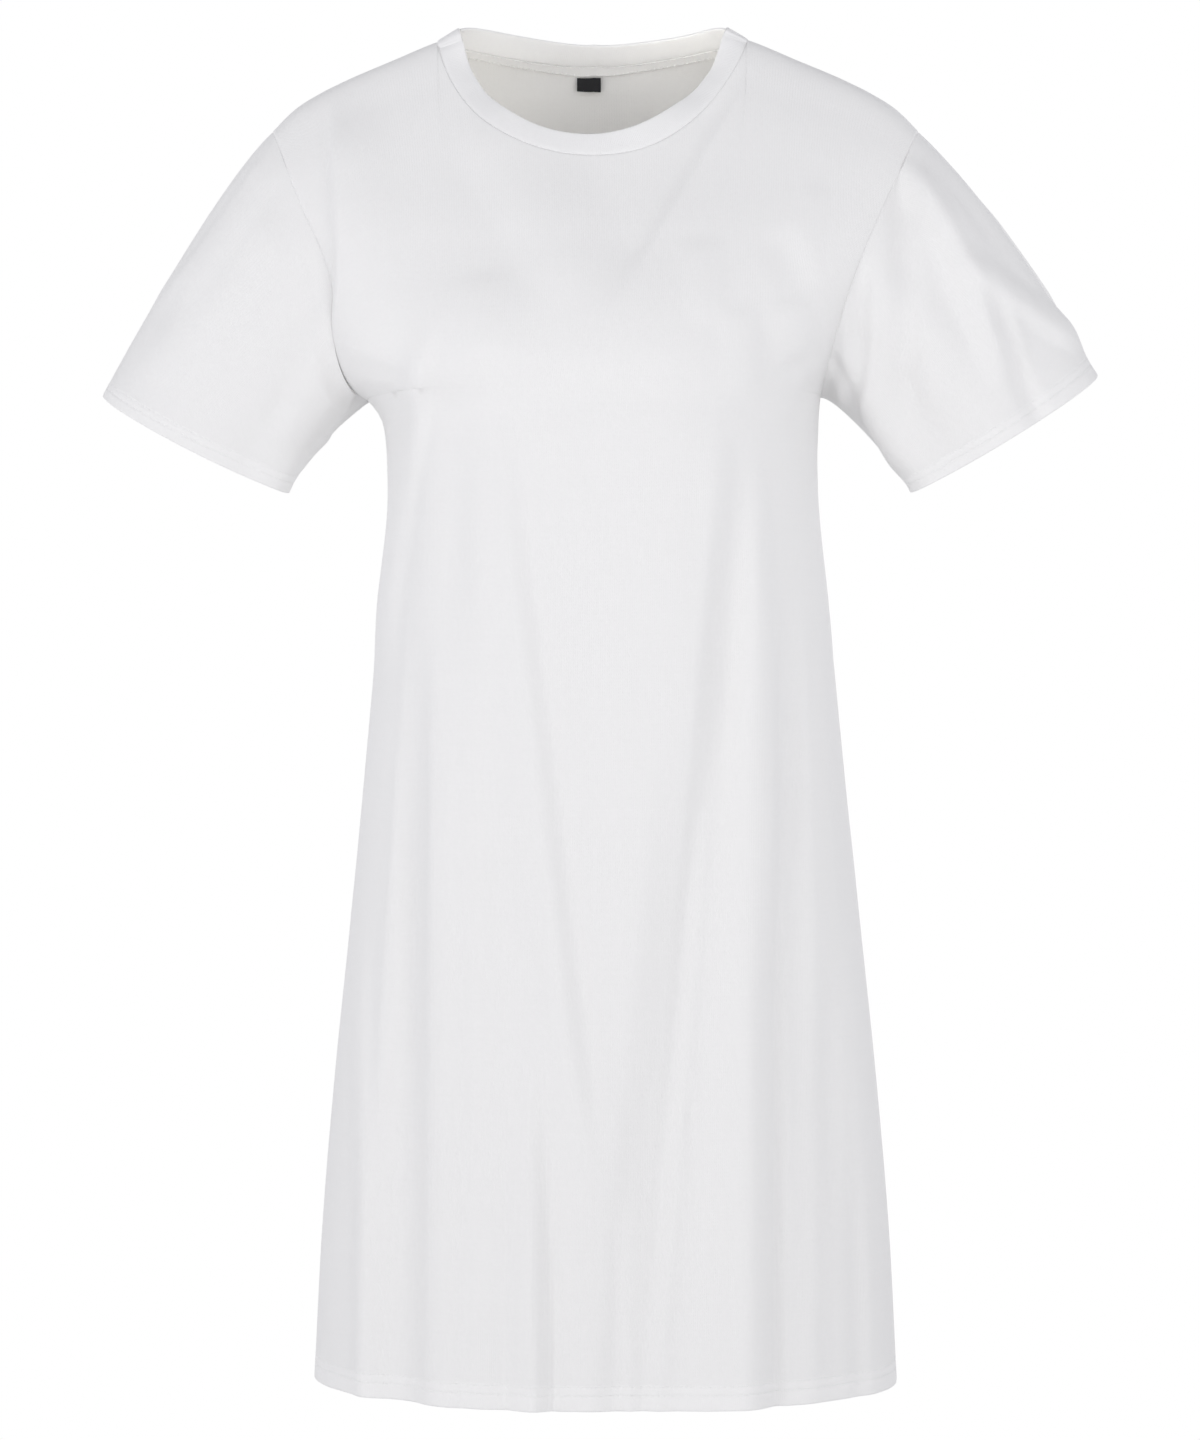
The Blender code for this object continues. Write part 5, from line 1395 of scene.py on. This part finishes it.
def add_size_label(material):
    """The small woven tab that hangs from the tape, left bare."""
    x = LABEL_CENTRE_X + LABEL_WIDTH * np.linspace(-0.5, 0.5, LABEL_COLUMNS)
    shares, grows = [], []
    downs = np.linspace(0.0, 1.0, LABEL_ROWS)
    for down in downs:
        grow = TAPE_WIDTH + LABEL_GAP + LABEL_HEIGHT * down
        level = top_levels("back", 0.0, grow)
        half_length = body_surface("back", 0.0, level)[2]
        shares.append((x - body_value("shift", level)) / half_length)
        grows.append(grow + LABEL_SLANT * (x - LABEL_CENTRE_X) * down)
    curl = 1 + LABEL_CURL * np.linspace(-1, 1, LABEL_COLUMNS) ** 2
    depth = LABEL_DEPTH + LABEL_LIFT * downs[:, None] ** 2 * curl
    label = add_strip("size_tab", shares, grows, depth, LABEL_WALL, material, "size_label")
    return label[0]


def hang_lamp(lamp, place, power, colour):
    """Puts a lamp in its place, out of the camera's sight."""
    lamp.energy = power
    lamp.color = colour
    holder = bpy.data.objects.new(lamp.name, lamp)
    holder.location = place
    holder.visible_camera = False
    bpy.context.scene.collection.objects.link(holder)
    return holder


def add_studio():
    """A pale floor, soft light and the camera."""
    ring = [
        (FLOOR_RADIUS * math.cos(turn), FLOOR_RADIUS * math.sin(turn), FLOOR_LEVEL)
        for turn in np.linspace(0, 2 * math.pi, FLOOR_SIDES, endpoint=False)
    ]
    mesh = bpy.data.meshes.new("studio_floor")
    mesh.from_pydata(ring, [], [tuple(range(len(ring)))])
    paint = bpy.data.materials.new("floor_paint")
    paint.use_nodes = True
    shader = paint.node_tree.nodes["Principled BSDF"]
    shader.inputs["Base Color"].default_value = FLOOR_COLOUR
    shader.inputs["Roughness"].default_value = FLOOR_ROUGHNESS
    mesh.materials.append(paint)
    floor = bpy.data.objects.new("studio_floor", mesh)
    bpy.context.scene.collection.objects.link(floor)

    world = bpy.data.worlds.new("studio")
    world.use_nodes = True
    bpy.context.scene.world = world
    tree = world.node_tree
    light = tree.nodes["Background"]
    light.inputs["Color"].default_value = SKY_COLOUR
    direction = tree.nodes.new("ShaderNodeTexCoord")
    split = tree.nodes.new("ShaderNodeSeparateXYZ")
    wire(tree, direction.outputs["Generated"], split.inputs["Vector"])
    upwards = calculate(tree, "MAXIMUM", split.outputs["Z"], 0.0)
    strength = calculate(tree, "MULTIPLY_ADD", upwards, -SKY_FALL, SKY_STRENGTH)
    wire(tree, strength, light.inputs["Strength"])
    seen = tree.nodes.new("ShaderNodeBackground")
    seen.inputs["Color"].default_value = (1.0, 1.0, 1.0, 1.0)
    seen.inputs["Strength"].default_value = 1.0
    path = tree.nodes.new("ShaderNodeLightPath")
    pick = tree.nodes.new("ShaderNodeMixShader")
    wire(tree, path.outputs["Is Camera Ray"], pick.inputs["Fac"])
    wire(tree, light.outputs["Background"], pick.inputs[1])
    wire(tree, seen.outputs["Background"], pick.inputs[2])
    wire(tree, pick.outputs["Shader"], tree.nodes["World Output"].inputs["Surface"])

    middle = Vector((0.0, 0.0, CAMERA_LEVEL))
    for row in SOFTBOX_ROWS:
        softbox = dict(zip(SOFTBOX_COLUMNS, row))
        lamp = bpy.data.lights.new(softbox["name"], "AREA")
        lamp.shape = "SQUARE"
        lamp.size = softbox["size"]
        holder = hang_lamp(lamp, softbox["place"], softbox["power"], softbox["colour"])
        aim = middle - Vector(softbox["place"])
        holder.rotation_euler = aim.to_track_quat("-Z", "Y").to_euler()
    for row in GLOW_ROWS:
        glow = dict(zip(GLOW_COLUMNS, row))
        lamp = bpy.data.lights.new(glow["name"], "POINT")
        lamp.shadow_soft_size = GLOW_RADIUS
        hang_lamp(lamp, glow["place"], glow["power"], GLOW_COLOUR)

    lens = bpy.data.cameras.new("camera")
    lens.sensor_width = SENSOR
    lens.lens = SENSOR * CAMERA_DISTANCE / VIEW_HEIGHT
    camera = bpy.data.objects.new("camera", lens)
    camera.location = (0.0, -CAMERA_DISTANCE, CAMERA_LEVEL)
    camera.rotation_euler = (math.pi / 2, 0.0, 0.0)
    bpy.context.scene.collection.objects.link(camera)
    bpy.context.scene.camera = camera
    bpy.context.scene.view_settings.view_transform = "Standard"


def dress():
    """Builds every piece of the dress."""
    groups = {"knit": make_knit_group(), "rumple": make_rumple_group(), "tone": make_tone_group()}
    tones = (JERSEY_TONE, DOUBLED_TONE)
    jersey = make_jersey("white_jersey", groups, tones, BODY_RUMPLE, BODY_KNIT, BODY_RELIEF)
    tones = (BAND_TONE, BAND_TONE)
    band_jersey = make_jersey(
        "neck_band_jersey", groups, tones, BAND_RUMPLE, BAND_KNIT, BAND_RELIEF
    )
    thread = make_thread()
    label_cloth = make_label_cloth()

    front, back = panel_grid("front"), panel_grid("back")
    join_panels(front[0], back[0])
    front_shell, front_normals = add_panel("front", front, jersey)
    back_shell, back_normals = add_panel("back", back, jersey)
    hem = add_hem_stitches(front[0], front_normals, back[0], back_normals, thread)
    for row in SLEEVE_ROWS:
        sleeve = dict(zip(SLEEVE_COLUMNS, row))
        loop = armhole_loop(front[0], back[0], sleeve["side"])
        add_sleeve(sleeve, loop, jersey, thread)
    band, band_length = add_neck_band(front[0], back[0], front_normals, back_normals, band_jersey)
    tape, tape_stitches, tape_length = add_neck_tape(jersey, thread)
    label = add_size_label(label_cloth)


dress()
add_studio()
